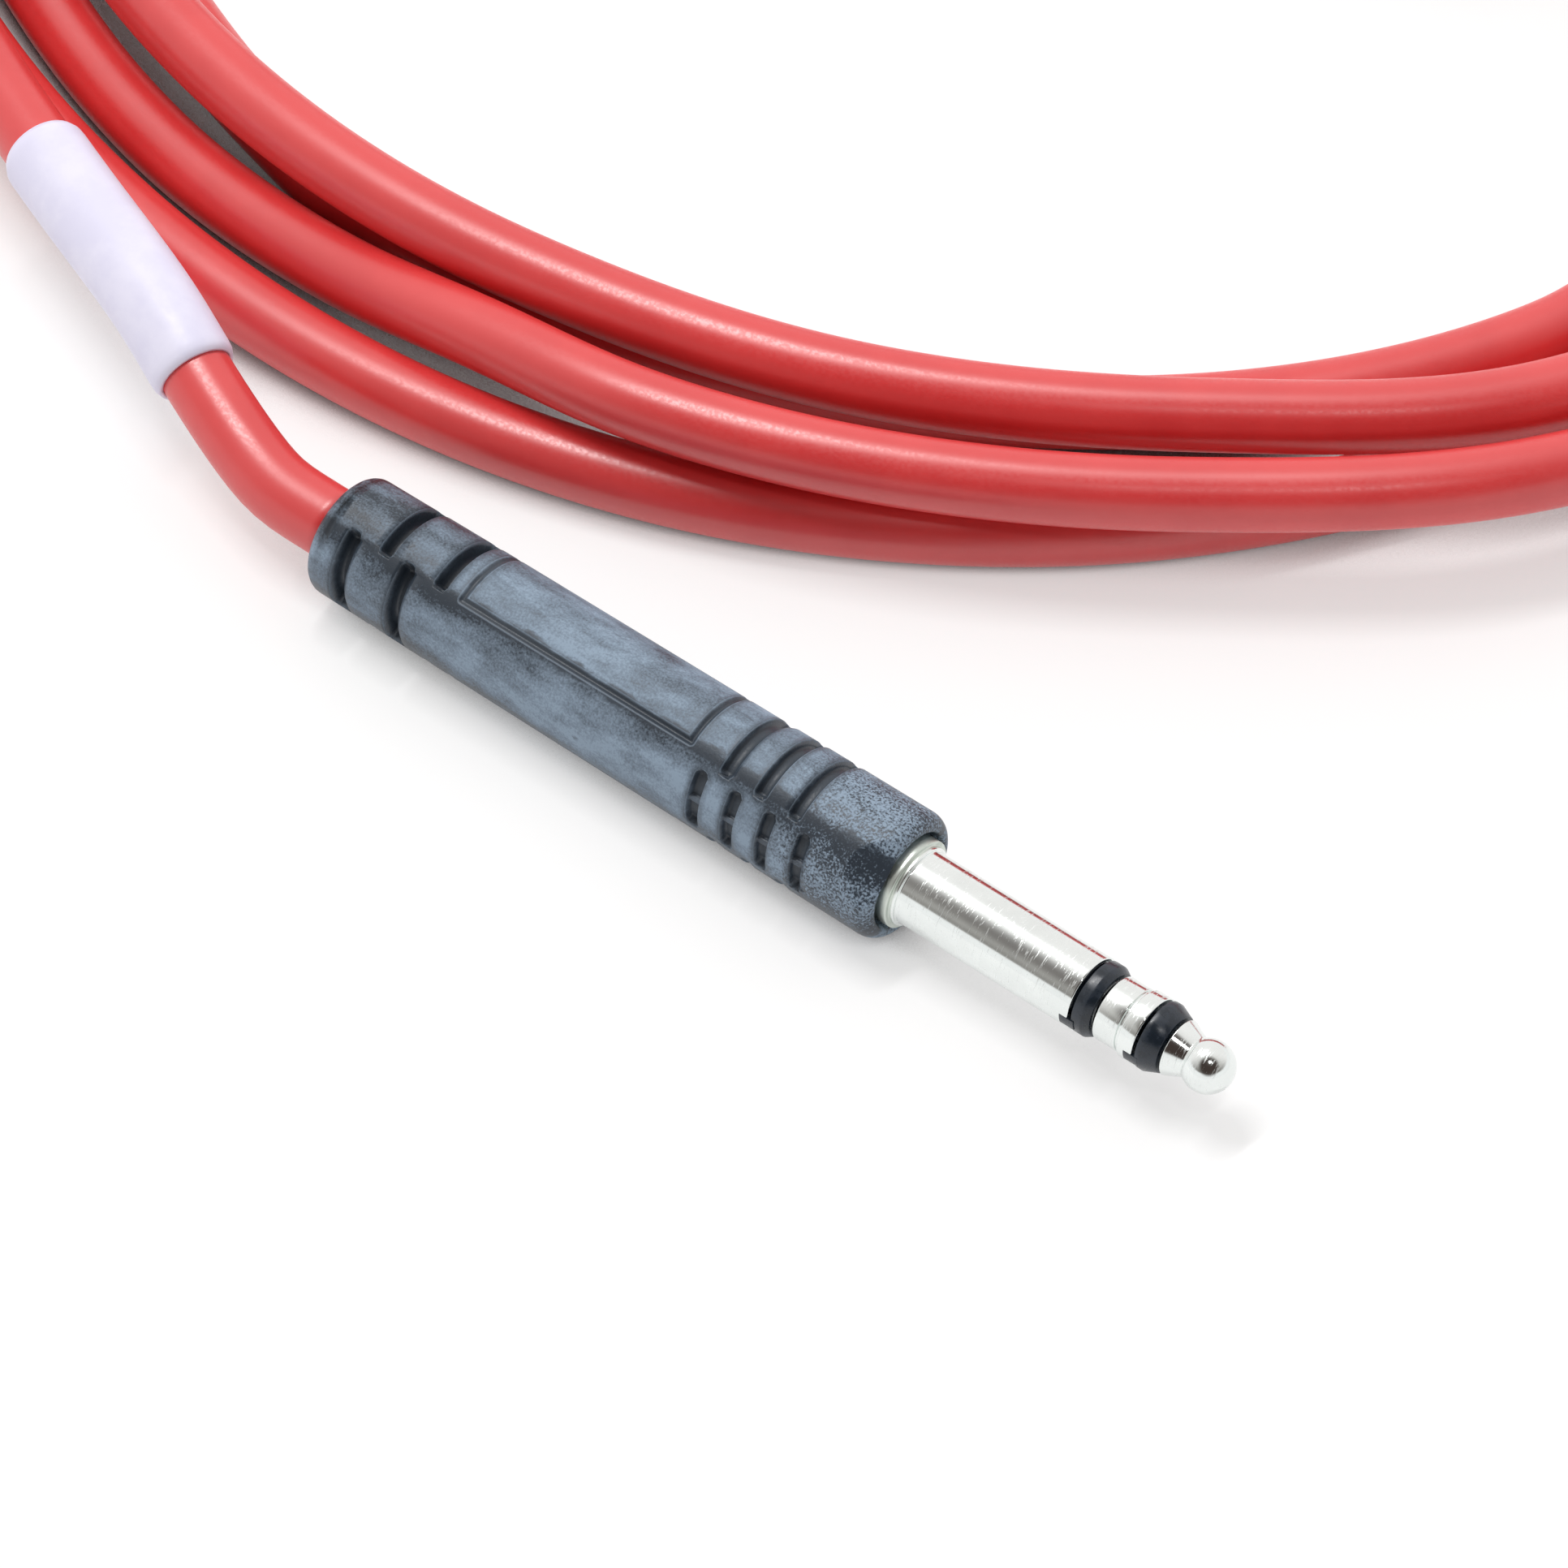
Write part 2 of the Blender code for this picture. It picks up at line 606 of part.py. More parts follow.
def direction_at(degrees):
    return np.array([math.cos(math.radians(degrees)), math.sin(math.radians(degrees))])


SIDE_HALF_LENGTH = COIL_SIDE_RADIUS * math.radians(COIL_SIDE_HALF_ANGLE)
COIL_END_LENGTH = COIL_END_RADIUS * math.radians(180.0 - 2 * COIL_SIDE_HALF_ANGLE)
COIL_TURN_LENGTH = 4 * SIDE_HALF_LENGTH + 2 * COIL_END_LENGTH


def coil_point(along, outside, height):
    """A point of the coil from its distance along the base oval, outside it and above the table.

    The oval is four arcs. Each centre is shifted from the near side's, past one joint or both.
    """
    half = COIL_SIDE_HALF_ANGLE
    lengths = np.cumsum([0.0, SIDE_HALF_LENGTH, COIL_END_LENGTH, 2 * SIDE_HALF_LENGTH,
                         COIL_END_LENGTH, SIDE_HALF_LENGTH])
    turns = [0.0, half, 180.0 - half, 180.0 + half, 360.0 - half, 360.0]
    turn = float(np.interp(along % COIL_TURN_LENGTH, lengths, turns))
    past_left = half < turn <= 180.0 + half
    past_right = 180.0 - half < turn <= 360.0 - half
    shift = COIL_SIDE_RADIUS - COIL_END_RADIUS
    centre = np.array(COIL_CENTRE)
    centre = centre + past_left * shift * direction_at(COIL_NEAR_ANGLE - half)
    centre = centre + past_right * shift * direction_at(COIL_NEAR_ANGLE + half)
    radius = COIL_SIDE_RADIUS if past_left == past_right else COIL_END_RADIUS
    facing = direction_at(COIL_NEAR_ANGLE - turn)
    drawn_in = COIL_BACK_FLAT * (1 + facing[1]) / 2
    return (*(centre + (radius - drawn_in + outside) * facing), height)


def coil_points():
    """The coil's turns in equal steps, with offset and height eased between the keys."""
    keys = np.array([(turns * COIL_TURN_LENGTH + past, outside, height)
                     for turns, past, outside, height in COIL_KEYS])
    count = round((keys[-1, 0] - keys[0, 0]) / COIL_SPACING)
    points = []
    for along in np.linspace(keys[0, 0], keys[-1, 0], count + 1):
        k = int(np.clip(np.searchsorted(keys[:, 0], along, side="right") - 1, 0, len(keys) - 2))
        length = keys[k + 1, 0] - keys[k, 0]
        share = (along - keys[k, 0]) / length
        values = []
        for column in (1, 2):
            slopes = []
            for j in (k, k + 1):
                low, high = max(j - 1, 0), min(j + 1, len(keys) - 1)
                slopes.append((keys[high, column] - keys[low, column])
                              / (keys[high, 0] - keys[low, 0]))
            a, b = keys[k, column], keys[k + 1, column]
            s2, s3 = share ** 2, share ** 3
            values.append((2 * s3 - 3 * s2 + 1) * a + (s3 - 2 * s2 + share) * length * slopes[0]
                          + (3 * s2 - 2 * s3) * b + (s3 - s2) * length * slopes[1])
        points.append(coil_point(along, values[0], max(values[1], LOW)))
    return np.array(points)


def segment_gap(p, q, r, s):
    """Least distance between segment pq and segment rs."""
    d1, d2, w = q - p, s - r, p - r
    a, e, f = d1 @ d1, d2 @ d2, d2 @ w
    b, c = d1 @ d2, d1 @ w
    denominator = a * e - b * b
    t = np.clip((b * f - c * e) / denominator, 0, 1) if denominator > 1e-9 else 0.0
    u = np.clip((b * t + f) / e, 0, 1)
    t = np.clip((b * u - c) / a, 0, 1)
    return float(np.linalg.norm((p + d1 * t) - (r + d2 * u)))


def least_gap(route_a, route_b, diameter, skip=0):
    """Least gap between two tubes, or between the far-apart runs of one."""
    least = 1e9
    where = None
    for i in range(len(route_a) - 1):
        start = i + skip if skip else 0
        for j in range(start, len(route_b) - 1):
            gap = segment_gap(route_a[i], route_a[i + 1], route_b[j], route_b[j + 1]) - diameter
            if gap < least:
                least, where = gap, (i, j)
    return least, where


# ---- building --------------------------------------------------------------------------------
def build_plug(prefix, shoulder, heading, roll, parts, cutters, finish):
    """One complete plug on an empty at its shoulder."""
    anchor = bpy.data.objects.new(prefix + "plug_axis", None)
    parts.objects.link(anchor)
    anchor.location = Vector((shoulder[0], shoulder[1], AXIS_HEIGHT)) * MM
    anchor.rotation_euler = Euler((math.radians(roll), 0.0, math.radians(heading)))
    turned_pieces = [
        ("tip_contact", tip_contact_profile(), "nickel"),
        ("tip_insulator", tip_insulator_profile(), "insulator"),
        ("ring_contact", ring_contact_profile(), "nickel"),
        ("ring_insulator", ring_insulator_profile(), "insulator"),
        ("sleeve_shell", sleeve_shell_profile(), "nickel"),
        ("crimp_ferrule", ferrule_profile(), "brass"),
        ("jacket_end", jacket_end_profile(), "jacket"),
    ]
    for name, profile, slot in turned_pieces:
        place(turned(prefix + name, profile, PIN_STEPS), parts, anchor, finish[slot])

    handle = place(turned(prefix + "handle", handle_profile(), HANDLE_STEPS), parts, anchor,
                   finish["rubber"])
    for maker in (slot_cutter, window_end_cutter, window_side_cutter, nose_flat_cutter):
        cutter = place(maker(prefix + maker.__name__), cutters, anchor)
        cut(handle, cutter, maker.__name__)

    ring_end = (RING_TUBE_BORE + RING_TUBE_RADIUS) / 2 + 0.15
    drain_end = BARREL_BORE - 0.05
    wires = [
        ("tip_core", CORE_RADIUS, "core_red",
         [(-CORE_START, 0.0, 1.2), (-CORE_START + 2.5, 0.0, 1.2),
          (-ROD_TAIL - 3.0, 0.0, 0.1), (-ROD_TAIL - FACE_GAP, 0.0, 0.0)]),
        ("ring_core", RING_CORE_RADIUS, "core_white",
         [(-CORE_START, 1.1, -0.9), (-CORE_START + 3.0, 1.2, -1.0),
          (-TIP_TUBE_TAIL - 3.0, ring_end * 0.75, -ring_end * 0.75),
          (-RING_TUBE_TAIL - FACE_GAP, ring_end * 0.7071, -ring_end * 0.7071)]),
        ("drain_wire", DRAIN_RADIUS, "copper",
         [(-CORE_START, -1.3, -0.6), (-CORE_START + 2.0, -1.9, -0.9),
          (-BARREL_REAR - 1.0, -drain_end * 0.9, -drain_end * 0.4359),
          (-BARREL_REAR - FACE_GAP, -drain_end * 0.9, -drain_end * 0.4359)]),
    ]
    for name, radius, slot, points in wires:
        place(tube_curve(prefix + name, points, radius, 2), parts, anchor, finish[slot])


def build():
    clear_scene()
    parts = new_collection("instrument_cable")
    cutters = new_collection("cutters")
    finish = {
        "nickel": new_material("nickel_plate", (0.80, 0.79, 0.76), 0.2, 1.0),
        "insulator": new_material("black_insulator", (0.02, 0.025, 0.03), 0.25),
        "rubber": new_material("black_rubber", (0.10, 0.12, 0.14), 0.65),
        "brass": new_material("brass", (0.75, 0.55, 0.25), 0.35, 1.0),
        "jacket": new_material("red_jacket", (0.72, 0.05, 0.05), 0.4),
        "core_red": new_material("core_red", (0.6, 0.05, 0.04), 0.45),
        "core_white": new_material("core_white", (0.8, 0.8, 0.78), 0.45),
        "copper": new_material("copper", (0.78, 0.42, 0.28), 0.35, 1.0),
        "marker": new_material("white_sleeve", (0.82, 0.80, 0.86), 0.5),
    }
    shoulder = (-PLUG_CENTRE, 0.0)
    build_plug("", shoulder, 0.0, PLUG_ROLL, parts, cutters, finish)
    build_plug("far_", FAR_PLUG_SHOULDER, FAR_PLUG_HEADING, FAR_PLUG_ROLL, parts, cutters,
               finish)

    coil = coil_points()
    first = (coil[1] - coil[0]) / np.linalg.norm(coil[1] - coil[0])
    last = (coil[-1] - coil[-2]) / np.linalg.norm(coil[-1] - coil[-2])

    back = np.array([shoulder[0] - HANDLE_LENGTH, 0.0, AXIS_HEIGHT])
    lead_start = back - np.array([STRAIGHT_END, 0.0, 0.0])
    lead_route = [lead_start, *LEAD_POINTS, coil[0] - first * (FACE_GAP + STRAIGHT_END)]
    lead = np.vstack([back, smooth_curve(lead_route, LEAD_SPACING), coil[0] - first * FACE_GAP])

    heading = math.radians(FAR_PLUG_HEADING)
    towards = np.array([math.cos(heading), math.sin(heading), 0.0])
    far_back = np.array([*FAR_PLUG_SHOULDER, AXIS_HEIGHT]) - towards * HANDLE_LENGTH
    centre = np.array([*COIL_CENTRE, 0.0])
    tail_start = coil[-1] + last * FACE_GAP
    tail_route = [tail_start + last * STRAIGHT_END, *[centre + point for point in TAIL_POINTS],
                  far_back - towards * STRAIGHT_END]
    tail = np.vstack([tail_start, smooth_curve(tail_route, TAIL_SPACING), far_back])

    jacket = finish["jacket"]
    place(tube_curve("cable_lead", lead, CABLE_RADIUS, 2), parts, None, jacket)
    place(tube_curve("cable_coil", coil, CABLE_RADIUS, 1), parts, None, jacket)
    place(tube_curve("cable_tail", tail, CABLE_RADIUS, 2), parts, None, jacket)

    bore = CABLE_RADIUS + SEAT_GAP
    marker_route = lead[MARKER_FIRST:MARKER_LAST + 1]
    sleeve = as_mesh(tube_curve("marker_sleeve", marker_route, bore + MARKER_WALL, 4), cutters)
    place(sleeve, parts, None, finish["marker"])
    run_in = (marker_route[0] - marker_route[1]) * 0.2
    run_out = (marker_route[-1] - marker_route[-2]) * 0.2
    bore_route = [marker_route[0] + run_in, *marker_route, marker_route[-1] + run_out]
    bore_cutter = as_mesh(tube_curve("marker_bore", bore_route, bore, 4), cutters)
    place(bore_cutter, cutters)
    cut(sleeve, bore_cutter, "bore")

    length = sum(float(np.linalg.norm(np.diff(run, axis=0), axis=1).sum())
                 for run in (lead, coil, tail))
    print("cable length between the plugs %.0f mm" % length)
    for label, first_run, second_run, skip in (
            ("coil to itself", coil, coil, 9), ("lead to coil", lead[:-2], coil[3:], 0),
            ("tail to coil", tail[2:], coil[:-3], 0)):
        gap, where = least_gap(first_run, second_run, CABLE_DIAMETER, skip)
        print("least gap, %s: %.2f mm at runs %d and %d" % (label, gap, *where))


build()
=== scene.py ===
import math

import bmesh
import bpy
import numpy as np
from mathutils import Euler, Matrix, Vector

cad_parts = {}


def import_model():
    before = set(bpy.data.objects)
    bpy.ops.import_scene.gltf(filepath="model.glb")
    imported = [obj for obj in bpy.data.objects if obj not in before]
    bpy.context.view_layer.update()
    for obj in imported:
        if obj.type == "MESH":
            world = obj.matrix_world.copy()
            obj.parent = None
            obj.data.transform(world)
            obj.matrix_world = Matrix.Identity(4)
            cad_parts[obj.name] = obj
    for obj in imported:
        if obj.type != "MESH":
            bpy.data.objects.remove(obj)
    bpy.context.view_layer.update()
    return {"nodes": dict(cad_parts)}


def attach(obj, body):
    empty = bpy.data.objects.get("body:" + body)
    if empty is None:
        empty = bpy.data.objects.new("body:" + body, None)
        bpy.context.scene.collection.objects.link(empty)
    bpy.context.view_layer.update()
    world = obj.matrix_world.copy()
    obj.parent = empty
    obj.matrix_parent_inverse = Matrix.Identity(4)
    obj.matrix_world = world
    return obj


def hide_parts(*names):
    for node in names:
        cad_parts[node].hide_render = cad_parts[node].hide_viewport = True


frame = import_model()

# An instrument cable: two moulded plugs on a coiled red cable that carries a white marker.

MM = 0.001

# ---- view ------------------------------------------------------------------------------------
VIEW_AZIMUTH = 38.8
VIEW_ELEVATION = 50.3
VIEW_DISTANCE = 800.0
VIEW_TARGET = (-0.65, 1.55, 5.5)
LENS = 235.5             # for a sensor 36 mm wide

# ---- plug, in millimetres along its own axis, shoulder at x = 0 --------------------------------
FACE_GAP = 0.3           # between faces that meet
SLEEVE_RADIUS = 3.175
SLEEVE_LENGTH = 17.2
COLLAR_RADIUS = 3.85
COLLAR_LENGTH = 4.0
COLLAR_STEP_RADIUS = 3.45
COLLAR_STEP_LENGTH = 0.4
BARREL_RADIUS = 3.4
BARREL_BORE = 3.0
BARREL_REAR = 14.0
ROD_RADIUS = 0.85
TIP_TUBE = (1.1, 1.4)    # bore and outside of the three tubes inside the finger
RING_TUBE = (1.65, 1.95)
BAND_TUBE = (2.2, 2.5)
SLEEVE_BORE = 2.75
BAND_REAR = SLEEVE_LENGTH + FACE_GAP
BAND_LIP, BAND_FRONT = 18.4, 19.0
BAND_RADIUS = 3.12
RING_REAR, RING_FRONT = BAND_FRONT + FACE_GAP, 23.2
RING_RADIUS = 2.75
FLANGE_RADIUS = 2.95
FLANGE_LENGTH = 1.45
RING_GROOVE_DEPTH = 0.2
RING_GROOVE_WIDTH = 0.35
TIP_BAND_REAR = RING_FRONT + FACE_GAP
TIP_BAND_RIM, TIP_BAND_FRONT = 24.0, 25.2
TIP_REAR = TIP_BAND_FRONT + FACE_GAP
TIP_CONE_RADIUS = 2.45
NECK_RADIUS = 1.75
BALL_AT = 28.4
BALL_RADIUS = 2.2
RING_TUBE_TAIL = 4.5
BAND_TUBE_TAIL = 3.0
TIP_TUBE_TAIL = 6.5
ROD_TAIL = 9.5
TURNED_SIDES = 96
METAL_ROUNDING, RING_ROUNDING, BAND_ROUNDING = 0.12, 0.10, 0.06
WELD_DISTANCE = 0.002
KEY_ANGLE = 203.0        # where the insulators' keys show in the edges of sleeve and ring
KEY_WIDTH = 1.1
KEY_LENGTH = 0.75
KEY_DEPTH = 0.3
KEY_PROUD = 0.02

# ---- moulding --------------------------------------------------------------------------------
HANDLE_LENGTH = 58.0
HANDLE_NOSE = 0.6        # the worn nose stands this far behind the collar's face
FRONT_RADIUS = 5.55
MIDDLE_RADIUS = 5.45
MIDDLE_AT = 44.0
REAR_RADIUS = 5.2
FRONT_ROUNDING = 1.4     # the nose's round along the plug, and across it
NOSE_ROUNDING = 1.1
REAR_ROUNDING = 1.1
HANDLE_BORE = [          # for the collar, the barrel, the ferrule and the cable
    (-0.75, 4.26), (-1.2, 4.12), (-4.3, 4.1), (-4.3, 3.65), (-19.3, 3.65), (-19.3, 3.95),
    (-27.0, 3.95), (-27.0, 3.25), (-58.0, 3.25)]
LEAST_WALL_RADIUS = 4.15  # the nose's flats stop here
SLOT_WIDTH = 1.1
SLOT_DEPTH = 0.8
SLOT_PITCH = 3.4
SIDE_SLOTS = (7.8, 4)    # distance to the first slot, and how many
FACE_SLOTS = (9.4, 3)
SIDE_SLOT_ANGLE = 29.5
SIDE_WEB_ANGLE = 2.5
FACE_SLOT_ANGLE = 55.5
RELIEF_WIDTH = 1.2
RELIEF_FLOOR = 3.7
RELIEF_PITCH = 5.6
RELIEF_FACE = (45.7, 2)
RELIEF_SIDE = (48.9, 2)
RELIEF_ANGLE = 48.0
WINDOW = (20.2, 43.4)
WINDOW_ANGLE = 45.0
RIDGE_TURN = 90.0 + WINDOW_ANGLE  # where the window's sides lie round the handle
GROOVE_WIDTH = 0.7
GROOVE_DEPTH = 0.3
NOSE_FLAT_ANGLE = 151.0
NOSE_FLAT_LENGTH = 3.6
NOSE_FLAT_RADIUS = 4.25
EDGE_OUT = 0.09          # how far a slot's worn edge reaches outside and inside its outline
EDGE_IN = 0.06
EDGE_LINES = (-EDGE_OUT, -EDGE_OUT / 2, 0.0, EDGE_IN / 2, EDGE_IN)
WEB_EDGE = 0.02          # the web across a slot is as high as the worn edge is this far outside
ALONG_STEP = 0.7         # of the moulding's grid, which is finer at the nose and the slots
NOSE_STEP = 0.2
LEAST_STEP = 0.045
TURN_STEP = 2.5          # in degrees, finer where a slot ends
FINE_TURN_STEP = 0.5
LEAST_TURN_STEP = 0.4

# ---- cable -----------------------------------------------------------------------------------
CABLE_DIAMETER = 6.0
CABLE_RADIUS = CABLE_DIAMETER / 2
CABLE_SIDES = 32
CABLE_STEP = 1.4
ROUTE_SMOOTHINGS = 3
MARKER_WALL = 0.62
MARKER_CLEARANCE = 0.02
MARKER_SIDES = 64
MARKER_STEP = 0.6
MARKER_END_ROUND = (0.28, 0.04)  # how much smaller the last two rings at each end are
LOW = 3.05               # height of the centre line on the table, and on another turn
HIGH = 9.55
PLUG_AT = (13.7, 0.0)
PLUG_ROLL = -15.1
FAR_PLUG_AT = (-40.0, 111.0)
FAR_PLUG_HEADING = 6.0
FAR_PLUG_ROLL = 20.0
AXIS_HEIGHT = 5.55
COIL_CENTRE = (-64.0, 122.0)
COIL_SIDE_RADIUS = 100.0
COIL_END_RADIUS = 46.0
COIL_NEAR_ANGLE = -76.0
COIL_SIDE_HALF_ANGLE = 49.0
COIL_BACK_FLAT = 12.0
COIL_CHORD = 12          # the straight ends of the lead and tail follow a chord this long

# Each key of the coil: whole turns, distance past the middle of the near side, distance outside
# the base oval, and height of the centre line. The coil is walked clockwise, from the lead.
COIL_KEYS = [
    (0, 76.8, 8.6, HIGH), (0, 125.0, 12.2, HIGH), (0, 160.0, 13.0, HIGH), (0, 215.0, 13.6, LOW),
    (0, 330.0, 13.6, LOW), (1, -75.0, 13.0, HIGH), (1, -48.9, 8.8, HIGH), (1, -7.0, 4.9, HIGH),
    (1, 8.7, 1.8, 7.85), (1, 24.4, 0.1, 4.6), (1, 45.4, -0.2, LOW), (1, 71.6, 0.2, 4.0),
    (1, 103.0, 3.6, HIGH), (1, 160.0, 4.8, HIGH), (1, 210.0, 6.4, HIGH), (1, 255.0, 6.6, LOW),
    (1, 300.0, 6.6, LOW), (1, 355.0, 6.4, HIGH), (2, -78.5, 5.7, HIGH), (2, -50.6, 0.5, HIGH),
    (2, -20.9, -2.6, HIGH), (2, 8.7, -4.8, HIGH), (2, 94.2, -5.2, HIGH), (2, 225.0, -5.0, HIGH),
    (2, 285.0, -1.4, LOW), (2, 340.0, 0.4, LOW), (3, -106.0, 1.8, LOW), (3, -78.5, 3.9, LOW),
    (3, -57.6, 5.3, LOW), (3, -38.4, 6.4, LOW), (3, -7.0, 7.2, LOW), (3, 41.9, 6.9, LOW),
    (3, 120.0, 6.6, LOW), (3, 215.0, -7.8, LOW), (3, 340.0, -8.0, LOW), (4, -80.3, -5.2, LOW),
    (4, -27.9, -6.6, LOW), (4, 24.4, -7.8, LOW),
]
LEAD_POINTS = [
    (-56.0, 1.4, 6.1),
    (-62.5, 3.6, 7.7),
    (-69.5, 6.4, 9.2),
    (-84.0, 11.8, HIGH),
    (-96.5, 16.9, HIGH),
    (-107.0, 22.1, HIGH),
]
TAIL_POINTS = [
    (-25.0, -87.3, LOW),
    (-51.8, -74.2, LOW),
    (-61.0, -65.0, LOW),
    (-65.0, -51.5, LOW),
    (-64.0, -39.0, LOW),
    (-53.5, -24.0, 3.5),
]
STRAIGHT_END = 7.0       # the lead and the tail run straight for this long at each end
MARKER_SPACING = 13.0    # the marker covers two of these along the lead, after the first


# ---- node trees ------------------------------------------------------------------------------
class Wiring:
    """Adds nodes to a tree, each with its inputs joined or set in one call."""

    def __init__(self, tree):
        self.tree = tree

    def add(self, kind, inputs=None, **settings):
        node = self.tree.nodes.new(kind)
        for name, value in settings.items():
            setattr(node, name, value)
        for key, value in (inputs or {}).items():
            if isinstance(value, bpy.types.NodeSocket):
                self.tree.links.new(value, node.inputs[key])
            else:
                node.inputs[key].default_value = value
        return node

    def math(self, operation, *values):
        return self.add("ShaderNodeMath", dict(enumerate(values)), operation=operation).outputs[0]

    def length(self, first, second):
        """Length of the vector that has these two parts."""
        squares = [self.math("MULTIPLY", part, part) for part in (first, second)]
        return self.math("SQRT", self.math("ADD", *squares))

    def ramp(self, value, start, end, low=0.0, high=1.0, smooth=True):
        """Value carried from start..end to low..high."""
        kind = "SMOOTHSTEP" if smooth else "LINEAR"
        inputs = {"Value": value, "From Min": start, "From Max": end, "To Min": low,
                  "To Max": high}
        return self.add("ShaderNodeMapRange", inputs, interpolation_type=kind).outputs[0]


def new_tree(name, kind, inputs, outputs):
    """A node group with named sockets, and its wiring, input node and output node."""
    tree = bpy.data.node_groups.new(name, kind)
    for in_out, sockets in (("INPUT", inputs), ("OUTPUT", outputs)):
        for socket_name, socket_kind in sockets:
            tree.interface.new_socket(socket_name, in_out=in_out, socket_type=socket_kind)
    wire = Wiring(tree)
    return tree, wire, tree.nodes.new("NodeGroupInput"), tree.nodes.new("NodeGroupOutput")


# ---- shared finishes -------------------------------------------------------------------------
def grain_group():
    """Fine moulded grain: a height and a mask, both from one pattern."""
    tree, wire, given, result = new_tree(
        "surface_grain", "ShaderNodeTree",
        [("Vector", "NodeSocketVector"), ("Scale", "NodeSocketFloat"),
         ("Roughness", "NodeSocketFloat")],
        [("Height", "NodeSocketFloat"), ("Mask", "NodeSocketFloat")])
    noise = wire.add("ShaderNodeTexNoise", {
        "Vector": given.outputs["Vector"], "Scale": given.outputs["Scale"], "Detail": 4.0,
        "Roughness": given.outputs["Roughness"]})
    tree.links.new(noise.outputs[0], result.inputs["Height"])
    tree.links.new(wire.ramp(noise.outputs[0], 0.35, 0.65), result.inputs["Mask"])
    return tree


def scuff_group():
    """Long fine scuffs that run along one direction of the vector."""
    tree, wire, given, result = new_tree(
        "long_scuffs", "ShaderNodeTree",
        [("Vector", "NodeSocketVector"), ("Along", "NodeSocketFloat"),
         ("Across", "NodeSocketFloat")],
        [("Height", "NodeSocketFloat"), ("Mask", "NodeSocketFloat")])
    parts = wire.add("ShaderNodeSeparateXYZ", {0: given.outputs["Vector"]})
    stretched = wire.add("ShaderNodeCombineXYZ", {
        0: wire.math("MULTIPLY", parts.outputs[0], given.outputs["Along"]),
        1: wire.math("MULTIPLY", parts.outputs[1], given.outputs["Across"]),
        2: wire.math("MULTIPLY", parts.outputs[2], given.outputs["Across"])})
    noise = wire.add("ShaderNodeTexNoise", {
        "Vector": stretched.outputs[0], "Scale": 1.0, "Detail": 3.0, "Roughness": 0.6})
    tree.links.new(noise.outputs[0], result.inputs["Height"])
    tree.links.new(wire.ramp(noise.outputs[0], 0.52, 0.7), result.inputs["Mask"])
    return tree


GRAIN = grain_group()
SCUFFS = scuff_group()


def new_material(name):
    """A material with its Principled shader, the wiring and the object's own coordinates."""
    material = bpy.data.materials.new(name)
    material.use_nodes = True
    wire = Wiring(material.node_tree)
    shader = material.node_tree.nodes["Principled BSDF"]
    place = wire.add("ShaderNodeTexCoord").outputs["Object"]
    return material, wire, shader, place


def grain(wire, place, scale, roughness=0.6):
    return wire.add("ShaderNodeGroup", {"Vector": place, "Scale": scale,
                                        "Roughness": roughness}, node_tree=GRAIN)


def scuffs(wire, place, along, across):
    return wire.add("ShaderNodeGroup", {"Vector": place, "Along": along, "Across": across},
                    node_tree=SCUFFS)


def mix(wire, share, first, second):
    """Colour between first and second by the share's socket; each is a socket or a colour."""
    node = wire.add("ShaderNodeMix", data_type="RGBA")
    for key, value in (("A_Color", first), ("B_Color", second)):
        socket = next(s for s in node.inputs if s.identifier == key)
        if isinstance(value, bpy.types.NodeSocket):
            wire.tree.links.new(value, socket)
        else:
            socket.default_value = (*value, 1.0)
    wire.tree.links.new(share, next(s for s in node.inputs if s.identifier == "Factor_Float"))
    return next(s for s in node.outputs if s.identifier == "Result_Color")


def bump(wire, shader, height, distance, strength=1.0):
    node = wire.add("ShaderNodeBump", {"Height": height, "Distance": distance,
                                       "Strength": strength})
    wire.tree.links.new(node.outputs[0], shader.inputs["Normal"])


def link(wire, socket, shader, name):
    wire.tree.links.new(socket, shader.inputs[name])


def centred(wire, value, strength):
    """A pattern's swing about its middle, made stronger or weaker."""
    return wire.math("MULTIPLY", wire.math("SUBTRACT", value, 0.5), strength)


